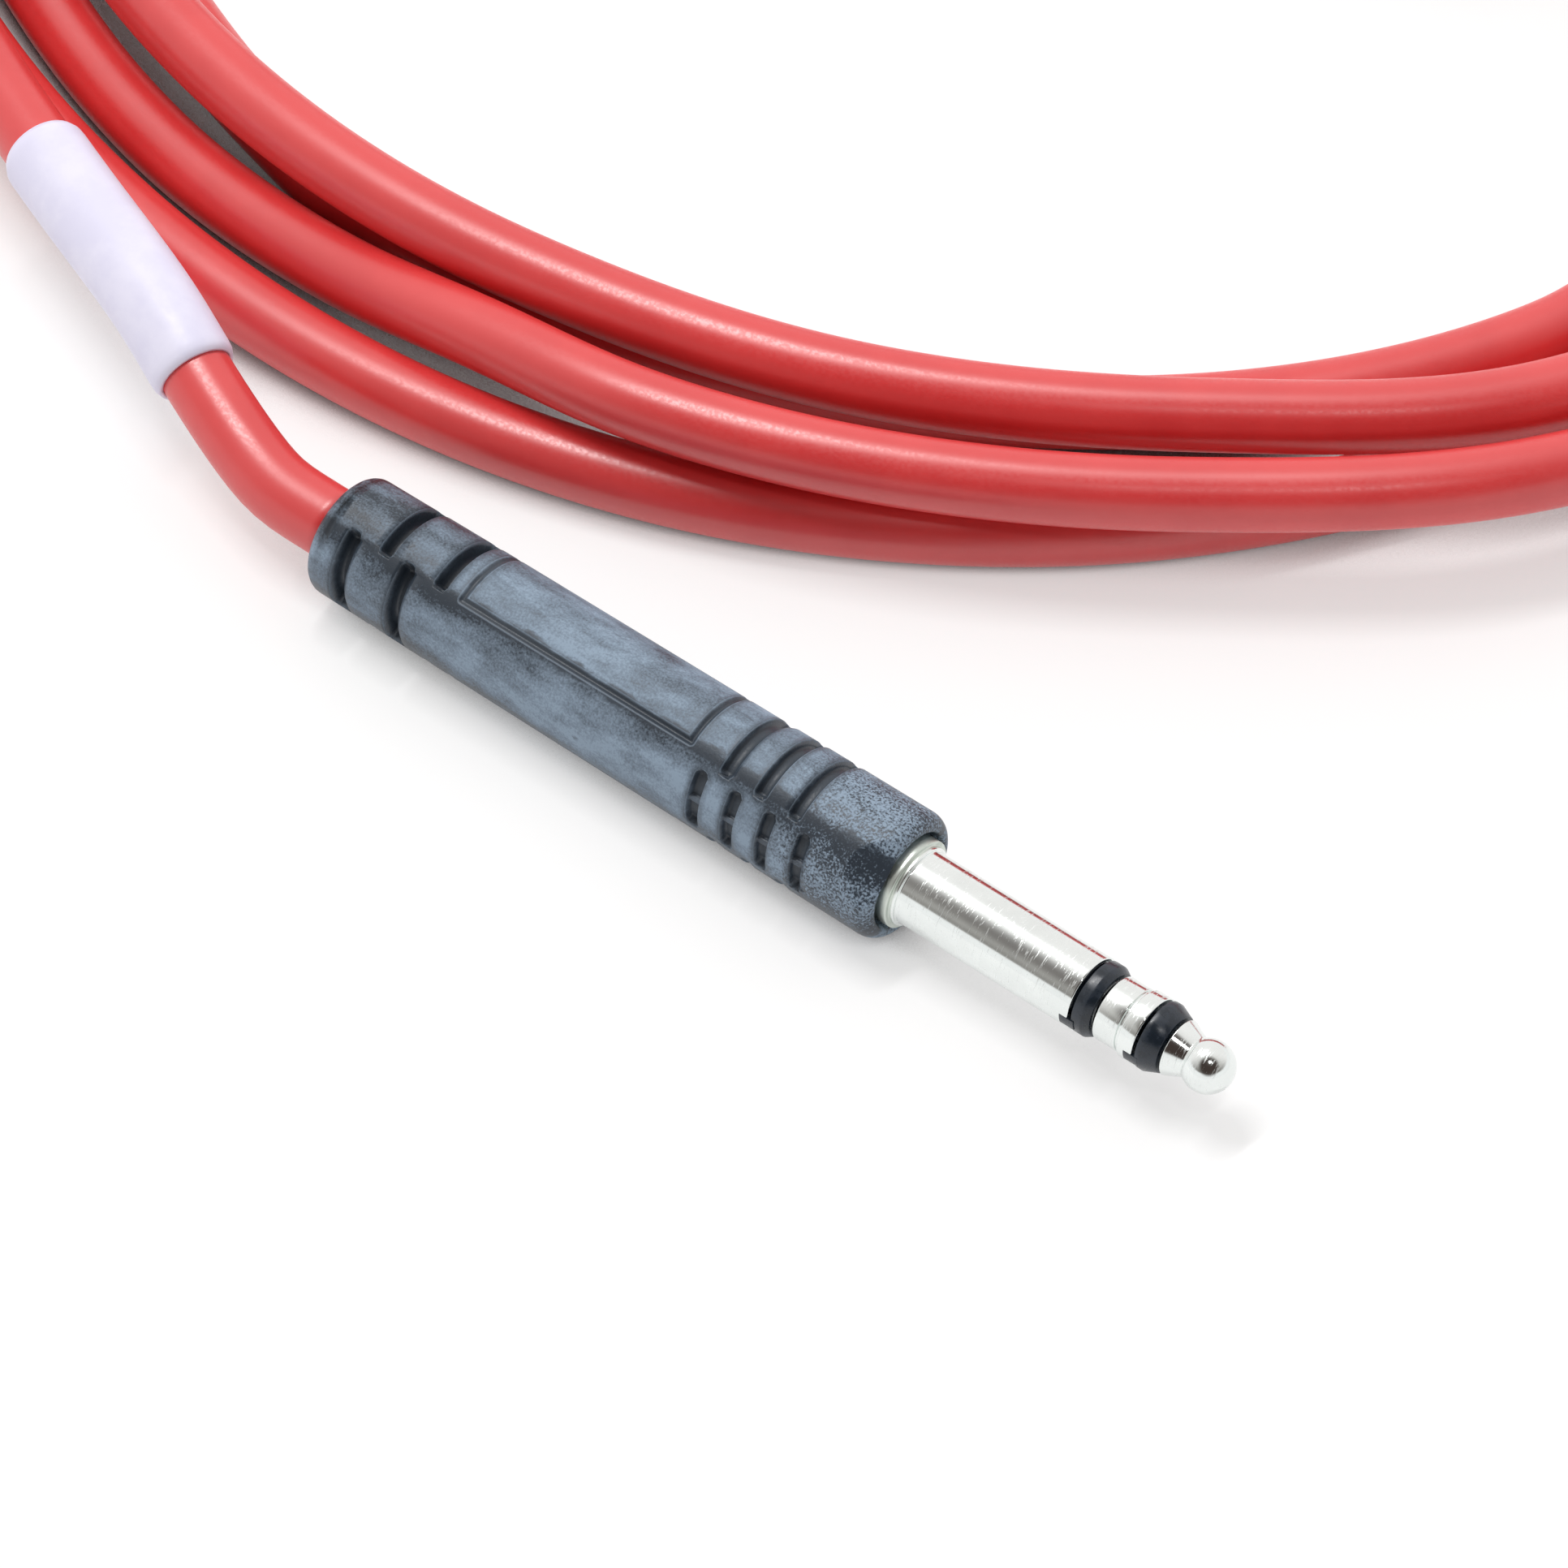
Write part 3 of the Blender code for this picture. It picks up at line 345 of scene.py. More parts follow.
def rubber_material():
    """Black rubber under a grey-blue bloom that is rubbed off on ridges and round the slots, with a
    painted highlight on the slots' rims and painted light and shade across the handle.
    """
    material, wire, shader, place = new_material("moulded_rubber")
    stretched = wire.add("ShaderNodeMapping", {"Vector": place, "Scale": (0.45, 1.0, 1.0)})
    stretched = stretched.outputs[0]
    patches = grain(wire, stretched, 230.0, 0.5).outputs["Height"]
    clouds = grain(wire, stretched, 900.0, 0.6).outputs["Height"]
    speckle = grain(wire, place, 5200.0, 0.55).outputs["Height"]
    pressed, rim, ridge, along, turn = (
        wire.add("ShaderNodeAttribute", attribute_name=name).outputs["Fac"]
        for name in ("pressed", "rim", "ridge", "along", "turn"))
    # The bloom is lowered at the nose, towards the rear on the window's face, and in a band along
    # the windows' lower edges that is deepest at the nose.
    nose = wire.ramp(along, 13.0, 5.0)
    rear = wire.math("MULTIPLY", wire.ramp(along, 40.0, 50.0),
                     wire.ramp(turn, RIDGE_TURN + 30.0, RIDGE_TURN - 10.0, 0.24, 0.52))
    under_ridge = wire.math("MULTIPLY", wire.ramp(turn, RIDGE_TURN - 4.0, RIDGE_TURN + 2.0),
                            wire.ramp(turn, RIDGE_TURN + 37.0, RIDGE_TURN + 3.0))
    under_nose = wire.math("MULTIPLY", wire.ramp(turn, RIDGE_TURN - 3.0, RIDGE_TURN + 11.0),
                           wire.ramp(turn, RIDGE_TURN + 37.0, RIDGE_TURN + 25.0))
    lower = wire.math("MULTIPLY_ADD", wire.math("MULTIPLY", nose, under_nose), 0.34,
                      wire.math("MULTIPLY", under_ridge, 0.56))
    darker = wire.math("MULTIPLY_ADD", nose, 0.20, wire.math("ADD", rear, lower))
    swing = wire.math("ADD", centred(wire, patches, 1.5), centred(wire, clouds, 1.0))
    fleck = wire.math("MULTIPLY", centred(wire, speckle, 1.0),
                      wire.math("MULTIPLY_ADD", nose, 4.0, 1.2))
    bloom = wire.math("ADD", wire.math("ADD", swing, fleck), 0.75)
    bloom = wire.math("SUBTRACT", bloom, darker)
    # Painted light and shade: the bloom is made a little darker on the window's face and a little
    # lighter down the lower side, where the floor's bounce light falls.
    bloom = wire.math("ADD", bloom,
                      wire.ramp(turn, RIDGE_TURN - 5.0, RIDGE_TURN + 37.0, -0.08, 0.08))
    worn = wire.math("ADD", ridge, centred(wire, clouds, 2.6))
    rubbed = wire.math("MAXIMUM", wire.math("MULTIPLY", wire.ramp(worn, 0.35, 0.95), 0.9),
                       wire.math("MULTIPLY", wire.math("POWER", rim, 2.0),
                                 wire.ramp(clouds, 0.35, 0.6, 0.35, 0.85)))
    bloom = wire.math("MULTIPLY", bloom, wire.math("SUBTRACT", 1.0, rubbed))
    # Painted highlight: a thin bright line added to the bloom right at the rims of the slots and
    # the window outline.
    edge = wire.math("MULTIPLY", wire.ramp(rim, 0.93, 1.0), wire.ramp(pressed, 0.3, 0.0))
    bloom = wire.math("MULTIPLY_ADD", edge, 0.3, bloom)
    bloom = wire.ramp(bloom, 0.0, 1.0, smooth=False)
    bare, bloomed, slot = (0.022, 0.032, 0.046), (0.268, 0.352, 0.450), (0.038, 0.051, 0.068)
    colour = mix(wire, pressed, mix(wire, bloom, bare, bloomed), slot)
    link(wire, colour, shader, "Base Color")
    link(wire, wire.ramp(bloom, 0.0, 0.8, 0.40, 0.68), shader, "Roughness")
    bump(wire, shader, speckle, 0.00003, 0.6)
    return material


def nickel_material():
    """Bright nickel plate with fine scratches round the plug, satin on the collar."""
    material, wire, shader, place = new_material("nickel_plate")
    nicks = scuffs(wire, place, 7500.0, 800.0)
    nick = wire.ramp(nicks.outputs["Height"], 0.585, 0.63)
    haze = grain(wire, place, 420.0)
    satin = wire.add("ShaderNodeAttribute", attribute_name="satin").outputs["Fac"]
    bright = mix(wire, haze.outputs["Mask"], (0.81, 0.845, 0.83), (0.85, 0.885, 0.87))
    dull = mix(wire, haze.outputs["Mask"], (0.60, 0.65, 0.60), (0.71, 0.76, 0.70))
    link(wire, mix(wire, satin, bright, dull), shader, "Base Color")
    rough = wire.math("MULTIPLY_ADD", nick, 0.24, 0.13)
    rough = wire.math("MULTIPLY_ADD", satin, 0.24, rough)
    link(wire, rough, shader, "Roughness")
    shader.inputs["Metallic"].default_value = 1.0
    bump(wire, shader, nick, 0.000002, 0.4)
    return material


def insulator_material():
    """Glossy black plastic with a few rub marks."""
    material, wire, shader, place = new_material("black_insulator")
    rubbed = grain(wire, place, 900.0)
    colour = mix(wire, rubbed.outputs["Mask"], (0.010, 0.016, 0.024), (0.022, 0.031, 0.045))
    link(wire, colour, shader, "Base Color")
    link(wire, wire.ramp(rubbed.outputs["Mask"], 0.0, 1.0, 0.22, 0.36), shader, "Roughness")
    return material


def jacket_material():
    """Satin red jacket, a little uneven."""
    material, wire, shader, place = new_material("red_jacket")
    patches = grain(wire, place, 90.0)
    fine = grain(wire, place, 3200.0)
    colour = mix(wire, patches.outputs["Mask"], (0.69, 0.036, 0.038), (0.74, 0.046, 0.047))
    link(wire, colour, shader, "Base Color")
    link(wire, wire.ramp(fine.outputs["Mask"], 0.0, 1.0, 0.32, 0.40), shader, "Roughness")
    shader.inputs["Specular IOR Level"].default_value = 1.0
    bump(wire, shader, fine.outputs["Height"], 0.000006, 0.5)
    return material


def marker_material():
    """White shrink sleeve with a soft shine."""
    material, wire, shader, place = new_material("white_sleeve")
    patches = grain(wire, place, 200.0)
    fine = grain(wire, place, 2600.0)
    colour = mix(wire, patches.outputs["Mask"], (0.76, 0.74, 0.91), (0.82, 0.80, 0.95))
    link(wire, colour, shader, "Base Color")
    link(wire, wire.ramp(fine.outputs["Mask"], 0.0, 1.0, 0.40, 0.50), shader, "Roughness")
    bump(wire, shader, fine.outputs["Height"], 0.000008, 0.5)
    return material


def hidden_material(name, first, second, roughness, metallic):
    """Finish of a piece inside the moulding: two close colours over a fine grain."""
    material, wire, shader, place = new_material(name)
    fine = grain(wire, place, 1400.0)
    link(wire, mix(wire, fine.outputs["Mask"], first, second), shader, "Base Color")
    link(wire, wire.ramp(fine.outputs["Mask"], 0.0, 1.0, roughness, roughness + 0.12),
         shader, "Roughness")
    shader.inputs["Metallic"].default_value = metallic
    return material


FINISHES = {
    "nickel": nickel_material(),
    "insulator": insulator_material(),
    "rubber": rubber_material(),
    "jacket": jacket_material(),
    "marker": marker_material(),
    "ferrule": hidden_material("brass_ferrule", (0.70, 0.50, 0.22), (0.78, 0.58, 0.28), 0.3, 1.0),
    "core_red": hidden_material("red_core", (0.50, 0.03, 0.03), (0.58, 0.05, 0.04), 0.4, 0.0),
    "core_white": hidden_material("white_core", (0.74, 0.74, 0.72), (0.82, 0.82, 0.8), 0.4, 0.0),
    "copper": hidden_material("copper_wire", (0.72, 0.38, 0.24), (0.82, 0.46, 0.31), 0.3, 1.0),
}


# ---- meshes ----------------------------------------------------------------------------------
def tube_mesh(name, rings):
    """A mesh through equal rings of points, closed round each ring and from last to first."""
    count, sides = len(rings), len(rings[0])
    i, j = np.meshgrid(np.arange(count), np.arange(sides), indexing="ij")
    i2, j2 = (i + 1) % count, (j + 1) % sides
    quads = np.stack([i * sides + j, i2 * sides + j, i2 * sides + j2, i * sides + j2], axis=-1)
    mesh = bpy.data.meshes.new(name)
    mesh.from_pydata(np.reshape(rings, (-1, 3)), [], quads.reshape(-1, 4))
    mesh.shade_smooth()
    return mesh


def about_axis(profile, sides):
    """Rings about local X through (x, radius) points, in metres."""
    angles = np.linspace(0, 2 * math.pi, sides, endpoint=False)
    x, radius = np.array(profile).T
    rings = np.empty((len(x), sides, 3))
    rings[..., 0] = x[:, None]
    rings[..., 1] = radius[:, None] * np.cos(angles)
    rings[..., 2] = radius[:, None] * np.sin(angles)
    return rings * MM


def softened(profile, rounding):
    """The closed profile with each sharp corner replaced by a small round."""
    points = np.array(profile, float)
    result = []
    for before, corner, after in zip(np.roll(points, 1, 0), points, np.roll(points, -1, 0)):
        a, b = before - corner, after - corner
        long_a, long_b = np.linalg.norm(a), np.linalg.norm(b)
        turn = math.acos(np.clip(-(a @ b) / (long_a * long_b), -1, 1))
        # A slight bend stays as it is, and so does a corner on the axis.
        if turn < math.radians(25) or corner[1] < 0.01:
            result.append(corner)
            continue
        reach = min(rounding, long_a * 0.4, long_b * 0.4)
        start, end = corner + a / long_a * reach, corner + b / long_b * reach
        for t in (0.0, 0.3, 0.7, 1.0):
            result.append((1 - t) ** 2 * start + 2 * t * (1 - t) * corner + t ** 2 * end)
    return result


def finished(obj, matrix, slot_name, *nodes):
    """The object as a plain mesh in its place, with its finish, in the stead of CAD nodes."""
    bpy.context.collection.objects.link(obj)
    bpy.context.view_layer.update()
    evaluated = obj.evaluated_get(bpy.context.evaluated_depsgraph_get())
    mesh = bpy.data.meshes.new_from_object(evaluated)
    obj.modifiers.clear()
    mesh.transform(matrix)
    obj.data = mesh
    mesh.materials.clear()
    mesh.materials.append(FINISHES[slot_name])
    if nodes:
        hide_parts(*nodes)
    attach(obj, "root")
    return obj


def locating_key(start, end, outside):
    """Corners and faces of an insulator's small key that fills a notch in the metal's edge."""
    half = KEY_WIDTH / 2 / outside
    angles = math.radians(KEY_ANGLE) + np.linspace(-half, half, 9)
    corners = [(x, r * math.cos(a), r * math.sin(a)) for x, r in
               ((start, outside - KEY_DEPTH), (start, outside), (end, outside),
                (end, outside - KEY_DEPTH)) for a in angles]
    count = len(angles)
    faces = [(row * count + i, row * count + i + 1, (row + 1) % 4 * count + i + 1,
              (row + 1) % 4 * count + i) for row in range(4) for i in range(count - 1)]
    faces += [[row * count + side for row in range(4)] for side in (0, count - 1)]
    return corners, faces


def turned(name, profile, matrix, slot_name, node, rounding, key):
    """A turned piece that stands for one CAD node, with its locating key if it has one."""
    rings = about_axis(softened(profile, rounding), TURNED_SIDES)
    mesh = tube_mesh(name, rings)
    weld(mesh, key)
    satin = mesh.attributes.new("satin", "FLOAT", "POINT")
    satin.data.foreach_set("value", [
        float(node.endswith("sleeve_shell") and vertex.co.x < COLLAR_STEP_LENGTH / 2 * MM)
        for vertex in mesh.vertices])
    return finished(bpy.data.objects.new(name, mesh), matrix, slot_name, node)


def weld(mesh, key=None):
    """Close the poles of a turned mesh, add its key, and point its faces outwards."""
    body = bmesh.new()
    body.from_mesh(mesh)
    if key:
        corners, faces = locating_key(*key)
        added = [body.verts.new(Vector(corner) * MM) for corner in corners]
        for face in faces:
            body.faces.new([added[i] for i in face])
    bmesh.ops.remove_doubles(body, verts=body.verts, dist=WELD_DISTANCE * MM)
    flat = [f for f in body.faces if f.calc_area() < 1e-14]
    bmesh.ops.delete(body, geom=flat, context="FACES_ONLY")
    bmesh.ops.recalc_face_normals(body, faces=body.faces)
    body.to_mesh(mesh)
    body.free()


# ---- contact finger --------------------------------------------------------------------------
def tip_profile():
    """Rod, cone, neck and ball, from the back of the rod to the tip."""
    reach = math.pi - math.asin(NECK_RADIUS / BALL_RADIUS)
    ball = [(BALL_AT + BALL_RADIUS * math.cos(a), BALL_RADIUS * math.sin(a))
            for a in np.linspace(reach, 0.0, 22)]
    ball[-1] = (BALL_AT + BALL_RADIUS, 0.0)
    return [(-ROD_TAIL, 0.0), (-ROD_TAIL, ROD_RADIUS), (TIP_REAR, ROD_RADIUS),
            (TIP_REAR, TIP_CONE_RADIUS), *ball]


def tip_band_profile():
    bore, outside = TIP_TUBE
    return [(-TIP_TUBE_TAIL, bore), (-TIP_TUBE_TAIL, outside), (TIP_BAND_REAR, outside),
            (TIP_BAND_REAR, FLANGE_RADIUS), (TIP_BAND_RIM, FLANGE_RADIUS),
            (TIP_BAND_FRONT, TIP_CONE_RADIUS), (TIP_BAND_FRONT, bore)]


def ring_profile():
    bore, outside = RING_TUBE
    flange = RING_FRONT - FLANGE_LENGTH
    groove = flange - RING_GROOVE_WIDTH
    floor = RING_RADIUS - RING_GROOVE_DEPTH
    return [(-RING_TUBE_TAIL, bore), (-RING_TUBE_TAIL, outside), (RING_REAR, outside),
            (RING_REAR, RING_RADIUS), (groove, RING_RADIUS), (groove, floor), (flange, floor),
            (flange, FLANGE_RADIUS), (RING_FRONT, FLANGE_RADIUS), (RING_FRONT, bore)]


def sleeve_band_profile():
    bore, outside = BAND_TUBE
    return [(-BAND_TUBE_TAIL, bore), (-BAND_TUBE_TAIL, outside), (BAND_REAR, outside),
            (BAND_REAR, BAND_RADIUS), (BAND_LIP, BAND_RADIUS), (BAND_FRONT, RING_RADIUS),
            (BAND_FRONT, bore)]


def sleeve_profile():
    bore_step = RING_TUBE_TAIL + 2 * FACE_GAP
    return [(-BARREL_REAR, BARREL_BORE), (-BARREL_REAR, BARREL_RADIUS),
            (-COLLAR_LENGTH, BARREL_RADIUS), (-COLLAR_LENGTH, COLLAR_RADIUS),
            (0.0, COLLAR_RADIUS), (0.0, COLLAR_STEP_RADIUS),
            (COLLAR_STEP_LENGTH, COLLAR_STEP_RADIUS), (COLLAR_STEP_LENGTH, SLEEVE_RADIUS),
            (SLEEVE_LENGTH, SLEEVE_RADIUS), (SLEEVE_LENGTH, SLEEVE_BORE),
            (-bore_step, SLEEVE_BORE), (-bore_step, BARREL_BORE)]


# ---- moulding --------------------------------------------------------------------------------
def lines_about(centres, half_width):
    """Grid stations at both edges of a slot, for each of its centres."""
    near = [half_width - inset for inset in EDGE_LINES]
    return [c + side * n for c in centres for side in (-1, 1) for n in near]


def axial_stations():
    slots = [-(first + i * pitch) for (first, count), pitch in
             ((SIDE_SLOTS, SLOT_PITCH), (FACE_SLOTS, SLOT_PITCH)) for i in range(count)]
    reliefs = [-(first + i * RELIEF_PITCH) for first, count in (RELIEF_FACE, RELIEF_SIDE)
               for i in range(count)]
    ends = [-end for end in WINDOW]
    rear, front = -HANDLE_LENGTH + REAR_ROUNDING, -HANDLE_NOSE - FRONT_ROUNDING
    filler = np.arange(rear, front, ALONG_STEP)
    nose = np.arange(-NOSE_FLAT_LENGTH - 2 * NOSE_STEP, front, NOSE_STEP)
    groove_floor = 0.12
    return thinned([*lines_about(slots, SLOT_WIDTH / 2), *slots,
                    *lines_about(reliefs, RELIEF_WIDTH / 2), *reliefs,
                    *lines_about(ends, GROOVE_WIDTH / 2), *lines_about(ends, groove_floor), *ends,
                    *filler, *nose, rear, front], LEAST_STEP)


def thinned(values, least):
    """Sorted values with those closer than the least distance left out."""
    kept = []
    for value in sorted(values):
        if not kept or value - kept[-1] >= least:
            kept.append(value)
    return np.array(kept)


def angular_stations():
    """Angles round the moulding, close together where a slot ends."""
    dense = []
    round_end = math.degrees(SLOT_WIDTH / 2 / FRONT_RADIUS)
    for face in (0.0, 90.0, 180.0, 270.0):
        is_side = face in (0.0, 180.0)
        ends = [RELIEF_ANGLE]
        ends += [SIDE_SLOT_ANGLE] if is_side else [FACE_SLOT_ANGLE, WINDOW_ANGLE + 3.0]
        for end in ends:
            for side in (-1, 1):
                middle = face + side * end
                low, high = sorted((middle - side * (round_end + FINE_TURN_STEP),
                                    middle + side * 1.8))
                dense += list(np.arange(low, high, FINE_TURN_STEP))
        if is_side:
            reach = SIDE_WEB_ANGLE + round_end
            dense += list(np.arange(face - reach, face + reach, FINE_TURN_STEP))
    filler = np.arange(0.0, 360.0, TURN_STEP)
    angles = np.mod([*dense, *filler], 360.0)
    return np.radians(thinned(angles, LEAST_TURN_STEP))


def blank_rings():
    """Rings of the moulding before its slots: outside from back to nose, then the bore."""
    angles = angular_stations()
    stations = axial_stations()
    outside = []
    for degrees in range(75, -1, -15):
        a = math.radians(degrees)
        outside.append((-HANDLE_LENGTH + REAR_ROUNDING * (1 - math.sin(a)),
                        REAR_RADIUS - REAR_ROUNDING * (1 - math.cos(a))))
    taper_at = [-HANDLE_LENGTH + REAR_ROUNDING, -MIDDLE_AT, -WINDOW[0],
                -HANDLE_NOSE - FRONT_ROUNDING]
    taper = [REAR_RADIUS, (MIDDLE_RADIUS + REAR_RADIUS) / 2, MIDDLE_RADIUS, FRONT_RADIUS]
    outside += [(x, float(np.interp(x, taper_at, taper))) for x in stations]
    for degrees in range(80, -1, -10):
        a = math.radians(degrees)
        outside.append((-HANDLE_NOSE - FRONT_ROUNDING * (1 - math.cos(a)),
                        FRONT_RADIUS - NOSE_ROUNDING * (1 - math.sin(a))))
    profile = np.array([*outside, *HANDLE_BORE])
    rings = np.empty((len(profile), len(angles), 3))
    radius = np.repeat(profile[:, 1:2], len(angles), axis=1)
    is_outside = np.arange(len(profile)) < len(outside)
    plane = NOSE_FLAT_RADIUS + (FRONT_RADIUS - NOSE_FLAT_RADIUS) * np.clip(
        (-HANDLE_NOSE - profile[:, 0]) / (NOSE_FLAT_LENGTH - HANDLE_NOSE), 0, 3)
    for middle in (NOSE_FLAT_ANGLE, NOSE_FLAT_ANGLE + 180.0):
        away = np.cos(angles - math.radians(middle))
        limit = plane[:, None] / np.maximum(away, 0.2)[None, :]
        flat = np.minimum(radius, limit)
        radius = np.where(is_outside[:, None], np.maximum(flat, LEAST_WALL_RADIUS), radius)
    rings[..., 0] = profile[:, :1]
    rings[..., 1] = radius * np.cos(angles)
    rings[..., 2] = radius * np.sin(angles)
    return rings * MM


def polar(wire):
    """Each point's place, its distance from the axis and its angle about it."""
    place = wire.add("ShaderNodeSeparateXYZ", {0: wire.add("GeometryNodeInputPosition").outputs[0]})
    x, y, z = place.outputs
    return x, y, z, wire.length(y, z), wire.math("ARCTAN2", z, y)


def turn_from(wire, angle, middle):
    """Angle to the middle or to its opposite, whichever is nearer."""
    return wire.math("ABSOLUTE", wire.math(
        "WRAP", wire.math("SUBTRACT", angle, middle), math.pi / 2, -math.pi / 2))


def stored(wire, geometry, name, value):
    """The geometry with the value kept at its points, for the rubber to read."""
    return wire.add("GeometryNodeStoreNamedAttribute", {
        "Geometry": geometry, "Name": name, "Value": value}, data_type="FLOAT",
        domain="POINT").outputs[0]


def press(wire, geometry, coordinates, floor, mask, rim):
    """Sink the outside to the floor by the mask and keep the mask and rim as attributes."""
    x, y, z, radius, _ = coordinates
    sunk = wire.math("MULTIPLY_ADD", wire.math("SUBTRACT", floor, radius), mask, radius)
    share = wire.math("DIVIDE", sunk, radius)
    outside = wire.math("GREATER_THAN", radius, floor)
    place = wire.add("ShaderNodeCombineXYZ", {0: x, 1: wire.math("MULTIPLY", y, share),
                                              2: wire.math("MULTIPLY", z, share)})
    for name, value in (("pressed", mask), ("rim", rim)):
        known = wire.add("GeometryNodeInputNamedAttribute", {"Name": name}, data_type="FLOAT")
        value = wire.math("MAXIMUM", wire.math("MULTIPLY", value, outside), known.outputs[0])
        geometry = stored(wire, geometry, name, value)
    moved = wire.add("GeometryNodeSetPosition", {
        "Geometry": geometry, "Selection": outside, "Position": place.outputs[0]})
    return moved.outputs[0]


def slot_rows_tree():
    """Presses a row of round-ended slots into both opposite sectors of the moulding."""
    floats = ["Middle Angle", "First", "Pitch", "Count", "Width", "Half Angle", "Web Angle",
              "Radius", "Floor"]
    tree, wire, given, result = new_tree(
        "slot_rows", "GeometryNodeTree",
        [("Geometry", "NodeSocketGeometry")] + [(name, "NodeSocketFloat") for name in floats],
        [("Geometry", "NodeSocketGeometry")])
    size = given.outputs
    coordinates = polar(wire)
    x, _, _, _, angle = coordinates
    turn = turn_from(wire, angle, size["Middle Angle"])
    back = wire.math("SUBTRACT", wire.math("MULTIPLY", x, -1.0), size["First"])
    nearest = wire.math("ROUND", wire.math("DIVIDE", back, size["Pitch"]))
    last = wire.math("SUBTRACT", size["Count"], 1.0)
    nearest = wire.math("MINIMUM", wire.math("MAXIMUM", nearest, 0.0), last)
    off_x = wire.math("SUBTRACT", back, wire.math("MULTIPLY", nearest, size["Pitch"]))
    half_width = wire.math("MULTIPLY", size["Width"], 0.5)
    reach = wire.math("SUBTRACT", wire.math("MULTIPLY", size["Half Angle"], size["Radius"]),
                      half_width)
    past = wire.math("SUBTRACT", wire.math("MULTIPLY", turn, size["Radius"]), reach)
    past = wire.math("MAXIMUM", past, 0.0)
    distance = wire.math("SUBTRACT", wire.length(off_x, past), half_width)
    web = wire.math("MULTIPLY", wire.math("SUBTRACT", size["Web Angle"], turn), size["Radius"])
    web = wire.math("MINIMUM", web, WEB_EDGE * MM)
    distance = wire.math("MAXIMUM", distance, web)
    mask = wire.ramp(distance, EDGE_OUT * MM, -EDGE_IN * MM)
    rim = wire.ramp(distance, 1.0 * MM, 0.05 * MM)
    geometry = press(wire, size["Geometry"], coordinates, size["Floor"], mask, rim)
    tree.links.new(geometry, result.inputs[0])
    return tree


def window_tree():
    """Presses the fine outline of the label windows, and marks the ridges in line with it."""
    floats = ["Middle Angle", "Front", "Rear", "Half Angle", "Width", "Radius", "Floor"]
    tree, wire, given, result = new_tree(
        "window_outline", "GeometryNodeTree",
        [("Geometry", "NodeSocketGeometry")] + [(name, "NodeSocketFloat") for name in floats],
        [("Geometry", "NodeSocketGeometry")])
    size = given.outputs
    coordinates = polar(wire)
    x, _, _, _, angle = coordinates
    turn = turn_from(wire, angle, size["Middle Angle"])
    half_length = wire.math("MULTIPLY", wire.math("SUBTRACT", size["Rear"], size["Front"]), 0.5)
    middle = wire.math("MULTIPLY", wire.math("ADD", size["Rear"], size["Front"]), 0.5)
    off_x = wire.math("SUBTRACT", wire.math("ABSOLUTE", wire.math("ADD", x, middle)),
                      half_length)
    off_side = wire.math("MULTIPLY", wire.math("SUBTRACT", turn, size["Half Angle"]),
                         size["Radius"])
    beyond_x, beyond_side = (wire.math("MAXIMUM", v, 0.0) for v in (off_x, off_side))
    outer = wire.length(beyond_x, beyond_side)
    inner = wire.math("MINIMUM", wire.math("MAXIMUM", off_x, off_side), 0.0)
    border = wire.math("ABSOLUTE", wire.math("ADD", outer, inner))
    border = wire.math("SUBTRACT", border, wire.math("MULTIPLY", size["Width"], 0.5))
    mask = wire.ramp(border, 0.04 * MM, (0.02 - GROOVE_WIDTH / 2) * MM)
    rim = wire.ramp(border, 0.3 * MM, 0.08 * MM)
    geometry = press(wire, size["Geometry"], coordinates, size["Floor"], mask, rim)
    beside = wire.math("ABSOLUTE", off_side)
    ridge = wire.ramp(beside, 1.10 * MM, 0.25 * MM)
    behind_window = wire.ramp(x, -(WINDOW[1] + 2.0) * MM, -WINDOW[1] * MM, 0.45, 1.0)
    ridge = wire.math("MULTIPLY", ridge, behind_window)
    along = wire.math("DIVIDE", x, -MM)
    degrees = wire.math("MULTIPLY", wire.math("ABSOLUTE", angle), 180.0 / math.pi)
    for name, value in (("ridge", ridge), ("along", along), ("turn", degrees)):
        geometry = stored(wire, geometry, name, value)
    tree.links.new(geometry, result.inputs[0])
    return tree


